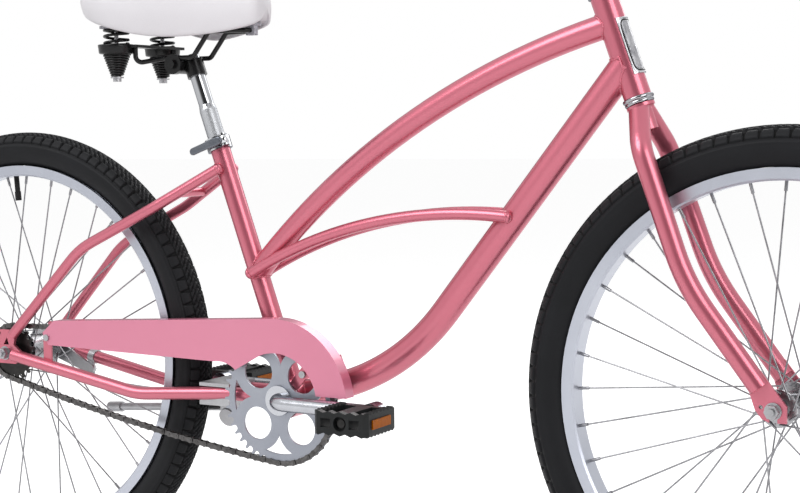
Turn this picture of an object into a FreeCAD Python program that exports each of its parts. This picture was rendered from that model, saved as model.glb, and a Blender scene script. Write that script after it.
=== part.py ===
"""Beach cruiser bicycle, built as an assembly of separate pieces.

Millimetres. X points forward, Y to the rider's left and Z up. The origin is on the ground, midway
between the axles. The pieces stand as they do at rest: steering straight, crank level with its
right arm forward, kickstand folded up.
"""

import FreeCAD
import Part
import Sketcher
import math
import os
import re

from FreeCAD import Placement, Rotation, Vector

X = Vector(1, 0, 0)
Y = Vector(0, 1, 0)
Z = Vector(0, 0, 1)
RIGHT = -1
LEFT = 1
# Turns a drawing made in X and Y into the side view, so that a pad grows to the right of the bicycle
SIDE_VIEW = Rotation(X, 90)

SIZES = (
    # overall
    ("wheelbase", 1192.0),
    ("running_clearance", 0.05),
    ("side_clearance", 0.3),
    # tyres and rims
    ("tyre_height", 51.0),
    ("tyre_section_radius", 27.6),
    ("tyre_wall", 3.5),
    ("rim_radius", 286.0),
    ("rim_half_width", 17.0),
    ("rim_wall", 2.0),
    ("rim_depth", 16.0),
    ("rim_bevel", 2.5),
    # spokes and valves
    ("spoke_count", 36),
    ("spoke_radius", 1.1),
    ("spoke_crossing_angle", 60.0),
    ("spoke_rim_offset", 3.5),
    ("spoke_rim_spread", 3.0),
    ("spoke_lift", 1.4),
    ("nipple_radius", 2.1),
    ("nipple_length", 13.0),
    ("front_valve_angle", 15.0),
    ("rear_valve_angle", 95.0),
    ("valve_radius", 4.0),
    ("valve_length", 40.0),
    ("valve_cap_length", 14.0),
    ("valve_cap_radius", 4.8),
    ("valve_base_radius", 8.0),
    ("valve_base_height", 2.0),
    # axles
    ("axle_radius", 4.75),
    ("axle_overhang", 4.0),
    ("axle_nut_height", 8.5),
    ("axle_nut_radius", 9.0),
    ("washer_radius", 10.5),
    ("washer_height", 2.0),
    ("cone_radius", 8.5),
    # front hub
    ("front_spacing", 100.0),
    ("front_cone_length", 10.0),
    ("front_flange_offset", 33.0),
    ("front_flange_radius", 23.0),
    ("front_spoke_circle", 19.0),
    ("front_barrel_radius", 12.0),
    ("front_end_radius", 13.5),
    ("hub_flange_width", 3.2),
    # rear coaster hub
    ("rear_spacing", 110.0),
    ("rear_left_cone_length", 9.0),
    ("rear_right_cone_length", 7.5),
    ("brake_arm_thickness", 3.5),
    ("dust_plate_radius", 22.0),
    ("dust_plate_width", 4.0),
    ("rear_flange_offset", 28.0),
    ("rear_flange_radius", 32.0),
    ("rear_spoke_circle", 28.0),
    ("rear_barrel_radius", 21.0),
    ("rear_end_radius", 24.0),
    ("hub_shell_right", 33.0),
    ("driver_radius", 17.0),
    # chain drive
    ("chain_pitch", 12.7),
    ("chain_links", 110),
    ("chain_sag", 8.0),
    ("chainring_teeth", 44),
    ("sprocket_teeth", 20),
    ("chain_line", 43.0),
    ("roller_radius", 3.9),
    ("roller_seat_clearance", 0.5),
    ("tooth_height", 3.6),
    ("tooth_gap_flare", 1.8),
    ("sprocket_thickness", 3.0),
    ("chain_inner_width", 3.5),
    ("chain_plate_thickness", 1.1),
    ("chain_plate_gap", 0.15),
    ("chain_plate_radius", 4.2),
    ("chain_plate_waist", 3.2),
    ("chain_pin_radius", 1.8),
    ("chain_pin_head", 0.5),
    ("chainring_holes", 4),
    ("chainring_round_hole", 23.0),
    ("chainring_hole_circle", 51.0),
    ("chainring_window_outer", 76.0),
    ("chainring_window_inner", 48.0),
    ("chainring_window_side", 39.0),
    ("chainring_window_half_angle", 17.0),
    # frame tubes
    ("bottom_bracket_drop", 40.0),
    ("shell_radius", 28.0),
    ("shell_wall", 2.4),
    ("shell_half_width", 34.0),
    ("seat_angle", 70.4),
    ("seat_tube_radius", 14.3),
    ("seat_tube_wall", 1.6),
    ("seat_tube_length", 385.5),
    ("seat_slot_width", 3.0),
    ("seat_slot_length", 32.0),
    ("head_angle", 70.4),
    ("head_tube_radius", 17.5),
    ("head_tube_wall", 2.3),
    ("head_tube_length", 134.0),
    ("head_tube_start", 414.0),
    ("top_tube_radius", 15.9),
    ("frame_tube_wall", 1.6),
    ("top_tube_head_drop", 36.0),
    ("top_tube_seat_height", 184.0),
    ("top_tube_rise", 47.0),
    ("down_tube_radius", 19.1),
    ("down_tube_head_rise", 44.4),
    ("down_tube_head_turn", 9.07),
    ("down_tube_foot_turn", 27.23),
    ("down_tube_bend", 330.0),
    ("mid_tube_radius", 8.0),
    ("mid_tube_seat_height", 184.0),
    ("mid_tube_head_run", 247.0),
    ("mid_tube_rise", 32.0),
    ("mid_tube_sink", 6.0),
    # rear stays
    ("chainstay_radius", 9.5),
    ("seatstay_radius", 8.0),
    ("stay_wall", 1.4),
    ("stay_bend", 130.0),
    ("chainstay_bend_back", 246.0),
    ("chainstay_bend_drop", 47.0),
    ("chainstay_bend_offset", 49.5),
    ("chainstay_neck_back", 106.0),
    ("chainstay_shell_offset", 24.0),
    ("seatstay_top_drop", 43.0),
    ("seatstay_bridge_back", 103.5),
    ("seatstay_bridge_drop", 58.1),
    ("seatstay_bridge_offset", 42.0),
    ("seatstay_bend_back", 233.5),
    ("seatstay_bend_drop", 120.1),
    ("seatstay_bend_offset", 50.0),
    ("stay_sink", 4.0),
    ("chainstay_start", 13.0),
    ("chainstay_start_drop", 3.0),
    ("chainstay_neck_spread", 2.0),
    ("seatstay_end_inset", 6.0),
    ("bridge_radius", 6.5),
    ("bridge_back", 63.5),
    ("dropout_tail", 30.0),
    ("dropout_nose", 28.0),
    ("dropout_half_height", 16.0),
    ("dropout_top", 34.0),
    ("dropout_top_forward", 13.0),
    ("dropout_eyelet_back", 12.0),
    ("dropout_eyelet_rise", 30.0),
    ("dropout_window_low", 13.0),
    ("dropout_window_high", 24.0),
    ("dropout_thickness", 5.0),
    ("dropout_eyelet_radius", 2.75),
    ("dropout_slot_clearance", 0.25),
    ("dropout_chamfer", 8.0),
    ("dropout_chamfer_rise", 6.0),
    ("dropout_nose_top", 4.0),
    ("dropout_waist_forward", 16.0),
    ("dropout_waist_height", 13.0),
    ("dropout_top_half_width", 8.0),
    ("dropout_top_slope", 2.0),
    ("dropout_eyelet_front", 4.0),
    ("dropout_eyelet_crown", 6.0),
    ("dropout_eyelet_shoulder", 5.0),
    ("dropout_eyelet_heel", 3.0),
    ("dropout_eyelet_neck", 1.0),
    ("dropout_tail_slope", 4.0),
    ("dropout_window_back", 4.0),
    ("dropout_window_front", 7.0),
    ("dropout_window_apex", 3.0),
    # headset and fork
    ("steerer_radius", 12.7),
    ("steerer_wall", 1.6),
    ("cup_radius", 20.0),
    ("cup_height", 10.0),
    ("cup_insert", 12.0),
    ("cup_taper", 2.0),
    ("crown_race_height", 4.0),
    ("locknut_radius", 18.0),
    ("locknut_height", 14.0),
    ("fork_rake", 53.0),
    ("steerer_stub", 30.0),
    ("blade_radius", 13.0),
    ("blade_wall", 1.8),
    ("blade_offset", 48.0),
    ("blade_crown_offset", 13.0),
    ("blade_crown_drop", 6.0),
    ("blade_shoulder_drop", 52.0),
    ("blade_bend_height", 175.0),
    ("blade_shoulder_bend", 45.0),
    ("blade_bend", 260.0),
    ("fork_tip_thickness", 4.0),
    ("fork_eyelet_radius", 2.5),
    ("fork_tip_low", 14.0),
    ("fork_tip_nose", 16.0),
    ("fork_tip_back", 16.0),
    ("fork_tip_top", 47.0),
    ("fork_tip_nose_top", 6.0),
    ("fork_tip_shoulder", 8.0),
    ("fork_tip_end_width", 18.0),
    ("fork_tip_end_slope", 12.0),
    ("fork_tip_heel", 6.0),
    ("fork_tip_heel_inset", 2.0),
    ("fork_tip_heel_drop", 10.0),
    ("fork_eyelet_inset", 1.0),
    ("fork_eyelet_rise", 4.0),
    ("blade_end_back", 17.0),
    ("blade_end_rise", 26.0),
    # stem, bar and grips
    ("stem_rise", 78.0),
    ("stem_reach", 62.0),
    ("stem_insert", 75.0),
    ("stem_arm_radius", 13.0),
    ("stem_clamp_radius", 18.0),
    ("stem_clamp_half_width", 21.0),
    ("stem_bolt_radius", 4.0),
    ("bar_radius", 11.1),
    ("bar_wall", 1.8),
    ("bar_bend", 55.0),
    ("bar_flat", 85.0),
    ("bar_shoulder_forward", 30.0),
    ("bar_shoulder_out", 190.0),
    ("bar_shoulder_rise", 75.0),
    ("bar_rise", 95.0),
    ("bar_corner_back", 20.0),
    ("bar_corner_out", 300.0),
    ("bar_sweep", 215.0),
    ("bar_half_width", 345.0),
    ("bar_drop", 25.0),
    ("grip_radius", 16.0),
    ("grip_flange_radius", 19.0),
    ("grip_flange_width", 4.0),
    ("grip_length", 126.0),
    ("grip_end", 4.0),
    # seat post and collar
    ("seatpost_length", 310.0),
    ("seatpost_out", 129.5),
    ("seatpost_swage_length", 76.0),
    ("seatpost_taper", 8.0),
    ("seatpost_neck_radius", 11.0),
    ("collar_wall", 4.0),
    ("collar_height", 18.0),
    ("collar_lip", 2.5),
    ("lever_pivot_angle", 35.0),
    ("lever_pivot_reach", 26.0),
    ("lever_room", 1.4),
    ("lever_pivot_radius", 6.0),
    ("lever_length", 58.0),
    ("lever_thickness", 6.0),
    ("lever_height", 12.0),
    ("skewer_radius", 2.5),
    # saddle
    ("saddle_clamp_height", 121.5),
    ("saddle_clamp_radius", 13.5),
    ("saddle_clamp_half_width", 17.0),
    ("saddle_sleeve_length", 24.0),
    ("saddle_sleeve_wall", 3.5),
    ("saddle_clamp_setback", 17.5),
    ("saddle_clamp_drop", 5.0),
    ("saddle_disc_radius", 14.5),
    ("saddle_disc_width", 9.0),
    ("saddle_bolt_radius", 4.0),
    ("saddle_bolt_head_radius", 7.0),
    ("saddle_bolt_head", 5.0),
    ("rail_radius", 3.5),
    ("rail_offset", 21.5),
    ("rail_lift", 4.0),
    ("rail_front", 16.0),
    ("rail_back", 36.0),
    ("rail_bend", 9.0),
    ("rail_rise_forward", 45.0),
    ("rail_nose_forward", 104.0),
    ("rail_nose_offset", 14.0),
    ("rail_nose_lift", 40.0),
    ("rail_tail_offset", 46.0),
    ("rail_tail_forward", 28.0),
    ("rail_tail_drop", 3.0),
    ("saddle_pan_height", 47.0),
    ("saddle_pan_thickness", 4.0),
    ("saddle_lug_length", 14.0),
    ("saddle_lug_half_width", 5.0),
    ("spring_back", 96.0),
    ("spring_offset", 54.0),
    ("carrier_lift", 19.5),
    ("carrier_thickness", 4.0),
    ("carrier_radius", 26.0),
    ("carrier_strap_start", 18.0),
    ("carrier_strap_length", 20.0),
    ("carrier_strap_half_width", 58.0),
    ("spring_wire_radius", 2.0),
    ("spring_radius", 17.0),
    ("spring_turns", 2),
    ("cone_wire_radius", 1.5),
    ("cone_top_radius", 19.5),
    ("cone_bottom_radius", 7.0),
    ("cone_height", 41.0),
    ("cone_turns", 11),
    ("spring_bolt_radius", 3.0),
    ("spring_bolt_room", 3.5),
    ("spring_washer_radius", 9.5),
    ("spring_washer_height", 2.0),
    ("spring_nut_radius", 6.0),
    ("spring_nut_height", 5.0),
    # crank and pedals
    ("crank_length", 170.0),
    ("crank_radius", 10.5),
    ("crank_right_corner", 66.0),
    ("crank_left_corner", 52.0),
    ("crank_splay", 10.0),
    ("crank_bend", 24.0),
    ("crank_collar_radius", 21.0),
    ("crank_collar_width", 4.0),
    ("crank_ring_radius", 17.0),
    ("crank_locknut_face", 45.0),
    ("crank_boss_radius", 14.5),
    ("crank_boss_half_width", 11.0),
    ("cup_bore_radius", 14.0),
    ("cup_flange_radius", 27.0),
    ("cup_flange_width", 3.0),
    ("cup_depth", 9.0),
    ("pedal_length", 81.0),
    ("pedal_width", 72.0),
    ("pedal_height", 26.0),
    ("pedal_wall", 9.0),
    ("pedal_barrel_radius", 11.0),
    ("pedal_tooth", 3.0),
    ("pedal_teeth", 8),
    ("pedal_end_teeth", 5),
    ("pedal_corner", 6.0),
    ("pedal_cap_radius", 9.5),
    ("pedal_cap_depth", 7.0),
    ("pedal_slot_length", 15.0),
    ("pedal_slot_height", 12.0),
    ("spindle_radius", 5.5),
    ("spindle_flange_radius", 8.5),
    ("spindle_flange_width", 4.0),
    ("spindle_end", 3.0),
    ("reflector_width", 46.0),
    ("reflector_height", 12.0),
    ("reflector_thickness", 2.0),
    # chain guard
    ("guard_offset", 55.0),
    ("guard_sheet", 1.2),
    ("guard_flange", 21.0),
    ("guard_nose_radius", 115.5),
    ("guard_opening_radius", 67.5),
    ("guard_top_slope", 3.2),
    ("guard_top_length", 393.0),
    ("guard_back", 410.0),
    ("guard_corner_back", 421.0),
    ("guard_corner_height", 74.0),
    ("guard_lower_rear", 56.0),
    ("guard_lower_front", 50.0),
    ("guard_lip_start", 104.0),
    ("guard_lip_back", 67.0),
    ("guard_lip_height", 40.0),
    ("guard_lip_bend", 45.0),
    ("guard_opening_angle", 115.0),
    ("guard_nose_end", 12.0),
    ("guard_ear_angle", 33.5),
    ("guard_ear_radius", 107.0),
    ("guard_ear_half_width", 8.0),
    ("guard_rear_screw_back", 413.0),
    ("guard_rear_screw_height", 67.0),
    ("guard_screw_radius", 2.5),
    ("guard_screw_head_radius", 5.0),
    ("guard_screw_head", 2.5),
    ("guard_tab_thickness", 3.0),
    ("guard_tab_width", 15.0),
    ("guard_tab_foot", 40.0),
    ("guard_gusset_forward", 32.0),
    ("guard_gusset_height", 37.0),
    # brake arm and strap
    ("brake_arm_forward", 78.0),
    ("brake_arm_drop", 34.0),
    ("brake_arm_hub_radius", 15.0),
    ("brake_arm_end_radius", 7.5),
    ("strap_width", 12.0),
    ("strap_wall", 1.5),
    ("strap_tab_thickness", 2.5),
    ("strap_bolt_radius", 3.0),
    ("strap_bolt_head_radius", 6.0),
    ("strap_bolt_head", 4.0),
    # kickstand
    ("kickstand_back", 120.0),
    ("kickstand_clamp_length", 52.0),
    ("kickstand_clamp_half_width", 33.0),
    ("kickstand_clamp_low", 18.0),
    ("kickstand_clamp_high", 3.0),
    ("kickstand_plate_thickness", 5.0),
    ("kickstand_bolt_radius", 6.0),
    ("kickstand_pivot_back", 127.0),
    ("kickstand_pivot_offset", 22.0),
    ("kickstand_pivot_drop", 38.0),
    ("kickstand_pivot_tilt", 20.0),
    ("kickstand_boss_radius", 14.0),
    ("kickstand_boss_back", 15.0),
    ("kickstand_boss_front", 12.0),
    ("kickstand_pin_radius", 5.0),
    ("kickstand_pin_depth", 20.0),
    ("kickstand_eye_radius", 9.0),
    ("kickstand_eye_length", 13.0),
    ("kickstand_leg_radius", 6.0),
    ("kickstand_leg_back", 258.0),
    ("kickstand_foot_offset", 56.0),
    ("kickstand_foot_drop", 22.0),
    ("kickstand_foot_length", 26.0),
    ("kickstand_foot_radius", 8.0),
    # head badge
    ("badge_height", 74.0),
    ("badge_angle", 108.0),
    ("badge_thickness", 1.4),
    ("badge_lift", -4.0),
)

doc = FreeCAD.newDocument("beach_cruiser")
sheet = doc.addObject("Spreadsheet::Sheet", "sizes")
for row, (alias, number) in enumerate(SIZES, 1):
    sheet.set(f"A{row}", alias)
    sheet.set(f"B{row}", str(number))
    sheet.setAlias(f"B{row}", alias)
doc.recompute()

NODES = []


# Sheet values and formulas


def size(alias):
    """Number in the sheet cell with this alias."""
    return float(sheet.get(alias))


def count(alias):
    """Whole number in the sheet cell with this alias."""
    return round(size(alias))


def cells(formula):
    """Formula of bare aliases as an expression that names the sheet."""
    return re.sub(r"\b[a-z][a-z0-9_]*\b(?!\()", r"sizes.\g<0>", formula)


def value(formula):
    """Number that a formula of aliases stands for now."""
    return float(sheet.evalExpression(cells(formula)))


def bind(thing, **formulas):
    """Ties properties of a document object to formulas of the sheet."""
    for name, formula in formulas.items():
        thing.setExpression(name, cells(formula))
    return thing


def node(thing):
    """Marks a document object as a finished sub-part; its Label names its file."""
    NODES.append(thing)
    return thing


# Solids from primitives and booleans


def cylinder(name, radius, height, base, axis=Z):
    """Round bar from base along axis."""
    solid = doc.addObject("Part::Cylinder", name)
    bind(solid, Radius=radius, Height=height)
    solid.Placement = Placement(base, Rotation(Z, axis))
    return solid


def centred_bar(name, radius, half_length, middle, axis=Y):
    """Round bar that reaches half_length to both sides of its middle."""
    base = middle - axis * value(half_length)
    return cylinder(name, radius, f"2 * ({half_length})", base, axis)


def block(name, length, width, height, middle, rotation=Rotation()):
    """Box centred on middle."""
    solid = doc.addObject("Part::Box", name)
    bind(solid, Length=length, Width=width, Height=height)
    corner = Vector(value(length), value(width), value(height)) * -0.5
    solid.Placement = Placement(middle, rotation) * Placement(corner, Rotation())
    return solid


def hexagon(name, radius, height, base, axis):
    """Six-sided prism from base along axis."""
    solid = doc.addObject("Part::Prism", name)
    solid.Polygon = 6
    bind(solid, Circumradius=radius, Height=height)
    solid.Placement = Placement(base, Rotation(Z, axis))
    return solid


def cut(name, base, *tools):
    """Base with the tools taken away."""
    for step, tool in enumerate(tools, 1):
        label = name if step == len(tools) else f"{name}_step{step}"
        result = doc.addObject("Part::Cut", label)
        result.Base = base
        result.Tool = tool
        base = result
    return base


def fuse(name, *pieces):
    """Pieces joined into one solid."""
    result = doc.addObject("Part::MultiFuse", name)
    result.Shapes = list(pieces)
    result.Refine = True
    return result


def group(name, *pieces):
    """Separate solids kept in one sub-part."""
    result = doc.addObject("Part::Compound", name)
    result.Links = list(pieces)
    return result


def shaped(name, shape):
    """Document object that holds a shape worked out here from the sheet's numbers."""
    result = doc.addObject("Part::Feature", name)
    result.Shape = shape
    return result


# Wires, tubes and rods


def bent_wire(points, *bends):
    """Straight runs through points, joined by tangent arcs of these radii; the last serves the rest."""
    edges = []
    start = points[0]
    for index, (before, corner, after) in enumerate(zip(points, points[1:], points[2:])):
        bend = bends[min(index, len(bends) - 1)]
        inward = (before - corner).normalize()
        outward = (after - corner).normalize()
        turn = math.pi - inward.getAngle(outward)
        reach = bend * math.tan(turn / 2)
        enter = corner + inward * reach
        leave = corner + outward * reach
        depth = bend / math.cos(turn / 2) - bend
        middle = corner + (inward + outward).normalize() * depth
        edges.append(Part.LineSegment(start, enter).toShape())
        edges.append(Part.Arc(enter, middle, leave).toShape())
        start = leave
    edges.append(Part.LineSegment(start, points[-1]).toShape())
    return Part.Wire(edges)


def arched_wire(start, end, rise, up):
    """One arc from start to end whose middle stands off the chord by rise."""
    middle = (start + end) * 0.5 + up * rise
    return Part.Wire([Part.Arc(start, middle, end).toShape()])


def trimmed(wire, length):
    """Wire with this length taken off both ends; a negative length adds to them."""
    edges = list(wire.OrderedEdges)
    spans = [[edge.FirstParameter, edge.LastParameter] for edge in edges]
    spans[0][0] += length / edges[0].derivative1At(spans[0][0]).Length
    spans[-1][1] -= length / edges[-1].derivative1At(spans[-1][1]).Length
    return Part.Wire([edge.Curve.toShape(*span) for edge, span in zip(edges, spans)])


def rod(name, wire, radius):
    """Round bar along a wire."""
    spine = shaped(f"{name}_spine", wire)
    first = wire.OrderedEdges[0]
    start = first.valueAt(first.FirstParameter)
    along = first.tangentAt(first.FirstParameter)
    ring = doc.addObject("Part::Circle", f"{name}_ring")
    bind(ring, Radius=radius)
    ring.Placement = Placement(start, Rotation(Z, along))
    sweep = doc.addObject("Part::Sweep", name)
    sweep.Sections = [ring]
    sweep.Spine = (spine, [])
    sweep.Solid = True
    return sweep


def tube(name, wire, radius, wall, *tools, closed=False):
    """Hollow tube along a wire, cut where its neighbours stand. Returns the tube and its full bar."""
    bar = rod(f"{name}_bar", wire, radius)
    end = size(wall) if closed else -size(wall)
    bore = rod(f"{name}_bore", trimmed(wire, end), f"{radius} - {wall}")
    return cut(name, bar, bore, *tools), bar


# Sketched bodies


def plane_of(body, role):
    """Origin plane of a body."""
    return next(plane for plane in body.Origin.OriginFeatures if plane.Role == role)


def new_sketch(body, name):
    """Sketch on the body's own XY plane."""
    sketch = body.newObject("Sketcher::SketchObject", name)
    sketch.AttachmentSupport = [(plane_of(body, "XY_Plane"), "")]
    sketch.MapMode = "FlatFace"
    return sketch


def pin(sketch, geometry, end, formulas):
    """Fixes a point of a sketch at a pair of formulas."""
    for axis, kind, formula in zip((-2, -1), ("DistanceX", "DistanceY"), formulas):
        if formula == "0":
            sketch.addConstraint(Sketcher.Constraint("PointOnObject", geometry, end, axis))
            continue
        rule = Sketcher.Constraint(kind, -1, 1, geometry, end, value(formula))
        sketch.setExpression(f"Constraints[{sketch.addConstraint(rule)}]", cells(formula))


def fix_radius(sketch, geometry, formula):
    """Fixes the radius of an arc or circle of a sketch."""
    rule = Sketcher.Constraint("Radius", geometry, value(formula))
    sketch.setExpression(f"Constraints[{sketch.addConstraint(rule)}]", cells(formula))


def add_circle(sketch, x, y, radius):
    """Circle with its middle at a pair of formulas."""
    middle = Vector(value(x), value(y), 0)
    ring = sketch.addGeometry(Part.Circle(middle, Z, value(radius)))
    pin(sketch, ring, 3, (x, y))
    fix_radius(sketch, ring, radius)


def add_outline(sketch, points):
    """Closed outline through points (x, y) or (x, y, arc, side).

    A point with an arc radius starts an arc to the next point; its middle lies on the left of the
    way for side 1 and on the right for side -1.
    """
    places = [Vector(value(point[0]), value(point[1]), 0) for point in points]
    ends = []
    for index, point in enumerate(points):
        start = places[index]
        stop = places[(index + 1) % len(points)]
        if len(point) == 2:
            ends.append((sketch.addGeometry(Part.LineSegment(start, stop)), 1, 2))
            continue
        radius = value(point[2])
        chord = stop - start
        left = Z.cross(chord).normalize()
        middle = (start + stop) * 0.5
        height = math.sqrt(radius ** 2 - chord.Length ** 2 / 4)
        crest = middle + left * point[3] * (height - radius)
        arc = Part.Arc(start, crest, stop) if point[3] > 0 else Part.Arc(stop, crest, start)
        geometry = sketch.addGeometry(arc)
        ends.append((geometry, 1, 2) if point[3] > 0 else (geometry, 2, 1))
    for index, (geometry, first, last) in enumerate(ends):
        following, start, _ = ends[(index + 1) % len(ends)]
        sketch.addConstraint(Sketcher.Constraint("Coincident", geometry, last, following, start))
    for (geometry, first, _), point in zip(ends, points):
        pin(sketch, geometry, first, point[:2])
        if len(point) > 2:
            fix_radius(sketch, geometry, point[2])


def pad(body, sketch, length):
    """Grows a sketch along its normal."""
    feature = body.newObject("PartDesign::Pad", f"{sketch.Name}_pad")
    feature.Profile = sketch
    bind(feature, Length=length)
    return feature


def pocket(body, sketch):
    """Cuts a sketch right through the body to both sides."""
    doc.recompute()
    feature = body.newObject("PartDesign::Pocket", f"{sketch.Name}_pocket")
    feature.Profile = sketch
    feature.Type = "ThroughAll"
    feature.Midplane = True
    return feature


def pattern(body, feature, sketch, copies):
    """Repeats a feature round the normal axis of a sketch."""
    ring = body.newObject("PartDesign::PolarPattern", f"{feature.Name}_pattern")
    ring.Originals = [feature]
    ring.Axis = (sketch, ["N_Axis"])
    ring.Angle = 360
    bind(ring, Occurrences=copies)
    body.Tip = ring
    return ring


def plate(name, points, thickness, base, holes=()):
    """Flat plate drawn in the side view round base, growing to the right side from there."""
    body = doc.addObject("PartDesign::Body", name)
    sketch = new_sketch(body, f"{name}_outline")
    add_outline(sketch, points)
    for hole in holes:
        add_circle(sketch, *hole)
    pad(body, sketch, thickness)
    body.Placement = Placement(base, SIDE_VIEW)
    return body


def turned(name, points, base, axis=Y):
    """Body turned about axis: an outline of (place along the axis, radius) points."""
    body = doc.addObject("PartDesign::Body", name)
    sketch = new_sketch(body, f"{name}_outline")
    add_outline(sketch, points)
    turn = body.newObject("PartDesign::Revolution", f"{name}_turn")
    turn.Profile = sketch
    turn.ReferenceAxis = (sketch, ["H_Axis"])
    turn.Angle = 360
    body.Placement = Placement(base, Rotation(X, axis))
    return body


# Driving places, worked out from the sheet


def pitch_radius(teeth):
    """Radius on which the chain's pins lie round a sprocket."""
    return size("chain_pitch") / (2 * math.sin(math.pi / count(teeth)))


def wrap_tilt(distance):
    """Angle between the chain's straight runs and the line of centres."""
    return math.asin((pitch_radius("chainring_teeth") - pitch_radius("sprocket_teeth")) / distance)


def links_needed(distance):
    """Links in a tight chain whose sprockets stand this far apart."""
    tilt = wrap_tilt(distance)
    runs = 2 * distance * math.cos(tilt) / size("chain_pitch")
    front = count("chainring_teeth") * (math.pi + 2 * tilt) / (2 * math.pi)
    back = count("sprocket_teeth") * (math.pi - 2 * tilt) / (2 * math.pi)
    return runs + front + back


def closing_distance():
    """Distance between the sprockets that closes the chain on its whole number of links."""
    low = pitch_radius("chainring_teeth")
    high = count("chain_links") * size("chain_pitch")
    while high - low > 1e-9:
        middle = (low + high) / 2
        if links_needed(middle) < count("chain_links"):
            low = middle
        else:
            high = middle
    return (low + high) / 2


def slope(degrees, length=1.0):
    """Vector in the bicycle's middle plane, rising forward at this angle."""
    angle = math.radians(degrees)
    return Vector(math.cos(angle), 0, math.sin(angle)) * length


DRIVE_LENGTH = closing_distance()
TYRE_RADIUS = "(rim_radius + tyre_height)"
REAR_AXLE = Vector(-size("wheelbase") / 2, 0, value(TYRE_RADIUS))
FRONT_AXLE = Vector(size("wheelbase") / 2, 0, value(TYRE_RADIUS))
BRACKET = REAR_AXLE + Vector(
    math.sqrt(DRIVE_LENGTH ** 2 - size("bottom_bracket_drop") ** 2), 0, -size("bottom_bracket_drop")
)
SEAT_AXIS = slope(180 - size("seat_angle"))
SEAT_FRONT = slope(90 - size("seat_angle"))
HEAD_AXIS = slope(180 - size("head_angle"))
HEAD_FRONT = slope(90 - size("head_angle"))
STEER_FOOT = FRONT_AXLE - HEAD_FRONT * size("fork_rake")


def on_seat(height):
    """Point on the seat tube's axis, this far up from the bottom bracket."""
    return BRACKET + SEAT_AXIS * height


def on_head(height):
    """Point on the steering axis, this far up from its foot abreast of the front axle."""
    return STEER_FOOT + HEAD_AXIS * height


HEAD_LOW = size("head_tube_start")
HEAD_HIGH = HEAD_LOW + size("head_tube_length")
SEAT_TOP = size("seat_tube_length")


# Wheels

def tyre(name, axle):
    """Hollow tyre whose beads stand between the rim's flanges."""
    neck = "(rim_half_width - rim_wall)"
    middle = f"({TYRE_RADIUS} - tyre_section_radius)"
    inner = "(tyre_section_radius - tyre_wall)"
    bead = "(rim_radius - rim_depth / 2)"
    seat = "(rim_radius + side_clearance)"
    out = f"sqrt(tyre_section_radius ^ 2 - ({middle} - {seat}) ^ 2)"
    rise = f"({seat} + tyre_wall)"
    lined = f"sqrt({inner} ^ 2 - ({middle} - {rise}) ^ 2)"
    lip = f"{neck} - tyre_wall"
    outline = [
        (f"-{neck}", bead),
        (f"-{neck}", seat),
        (f"-{out}", seat, "tyre_section_radius", -1),
        ("0", TYRE_RADIUS, "tyre_section_radius", -1),
        (out, seat),
        (neck, seat),
        (neck, bead),
        (lip, bead),
        (lip, rise),
        (lined, rise, inner, 1),
        ("0", f"{TYRE_RADIUS} - tyre_wall", inner, 1),
        (f"-{lined}", rise),
        (f"-({lip})", rise),
        (f"-({lip})", bead),
    ]
    return turned(name, outline, axle)


def rim(name, axle, valve_way):
    """Channel rim with a hole for the valve between two spokes."""
    inside = "rim_half_width - rim_wall"
    outline = [
        ("-rim_half_width", "rim_radius"),
        (f"-({inside})", "rim_radius"),
        (f"-({inside})", "rim_radius - rim_depth + rim_wall"),
        (inside, "rim_radius - rim_depth + rim_wall"),
        (inside, "rim_radius"),
        ("rim_half_width", "rim_radius"),
        ("rim_half_width", "rim_radius - rim_depth + rim_bevel"),
        ("rim_half_width - rim_bevel", "rim_radius - rim_depth"),
        ("rim_bevel - rim_half_width", "rim_radius - rim_depth"),
        ("-rim_half_width", "rim_radius - rim_depth + rim_bevel"),
    ]
    channel = turned(f"{name}_channel", outline, axle)
    inside_rim = axle + valve_way * (size("rim_radius") - 2 * size("rim_depth"))
    hole = cylinder(f"{name}_valve_hole", "valve_radius", "2 * rim_depth", inside_rim, valve_way)
    return cut(name, channel, hole)


def valve(name, axle, valve_way):
    """Valve stem through the rim, with its base in the channel and a cap towards the hub."""
    bed = "rim_radius - rim_depth + rim_wall"
    outline = [
        (f"{bed} + valve_base_height", "0"),
        (f"{bed} + valve_base_height", "valve_base_radius"),
        (bed, "valve_base_radius"),
        (bed, "valve_radius"),
        (f"{bed} - valve_length + valve_cap_length", "valve_radius"),
        (f"{bed} - valve_length + valve_cap_length", "valve_cap_radius"),
        (f"{bed} - valve_length", "valve_cap_radius"),
        (f"{bed} - valve_length", "0"),
    ]
    return turned(name, outline, axle, valve_way)


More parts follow.
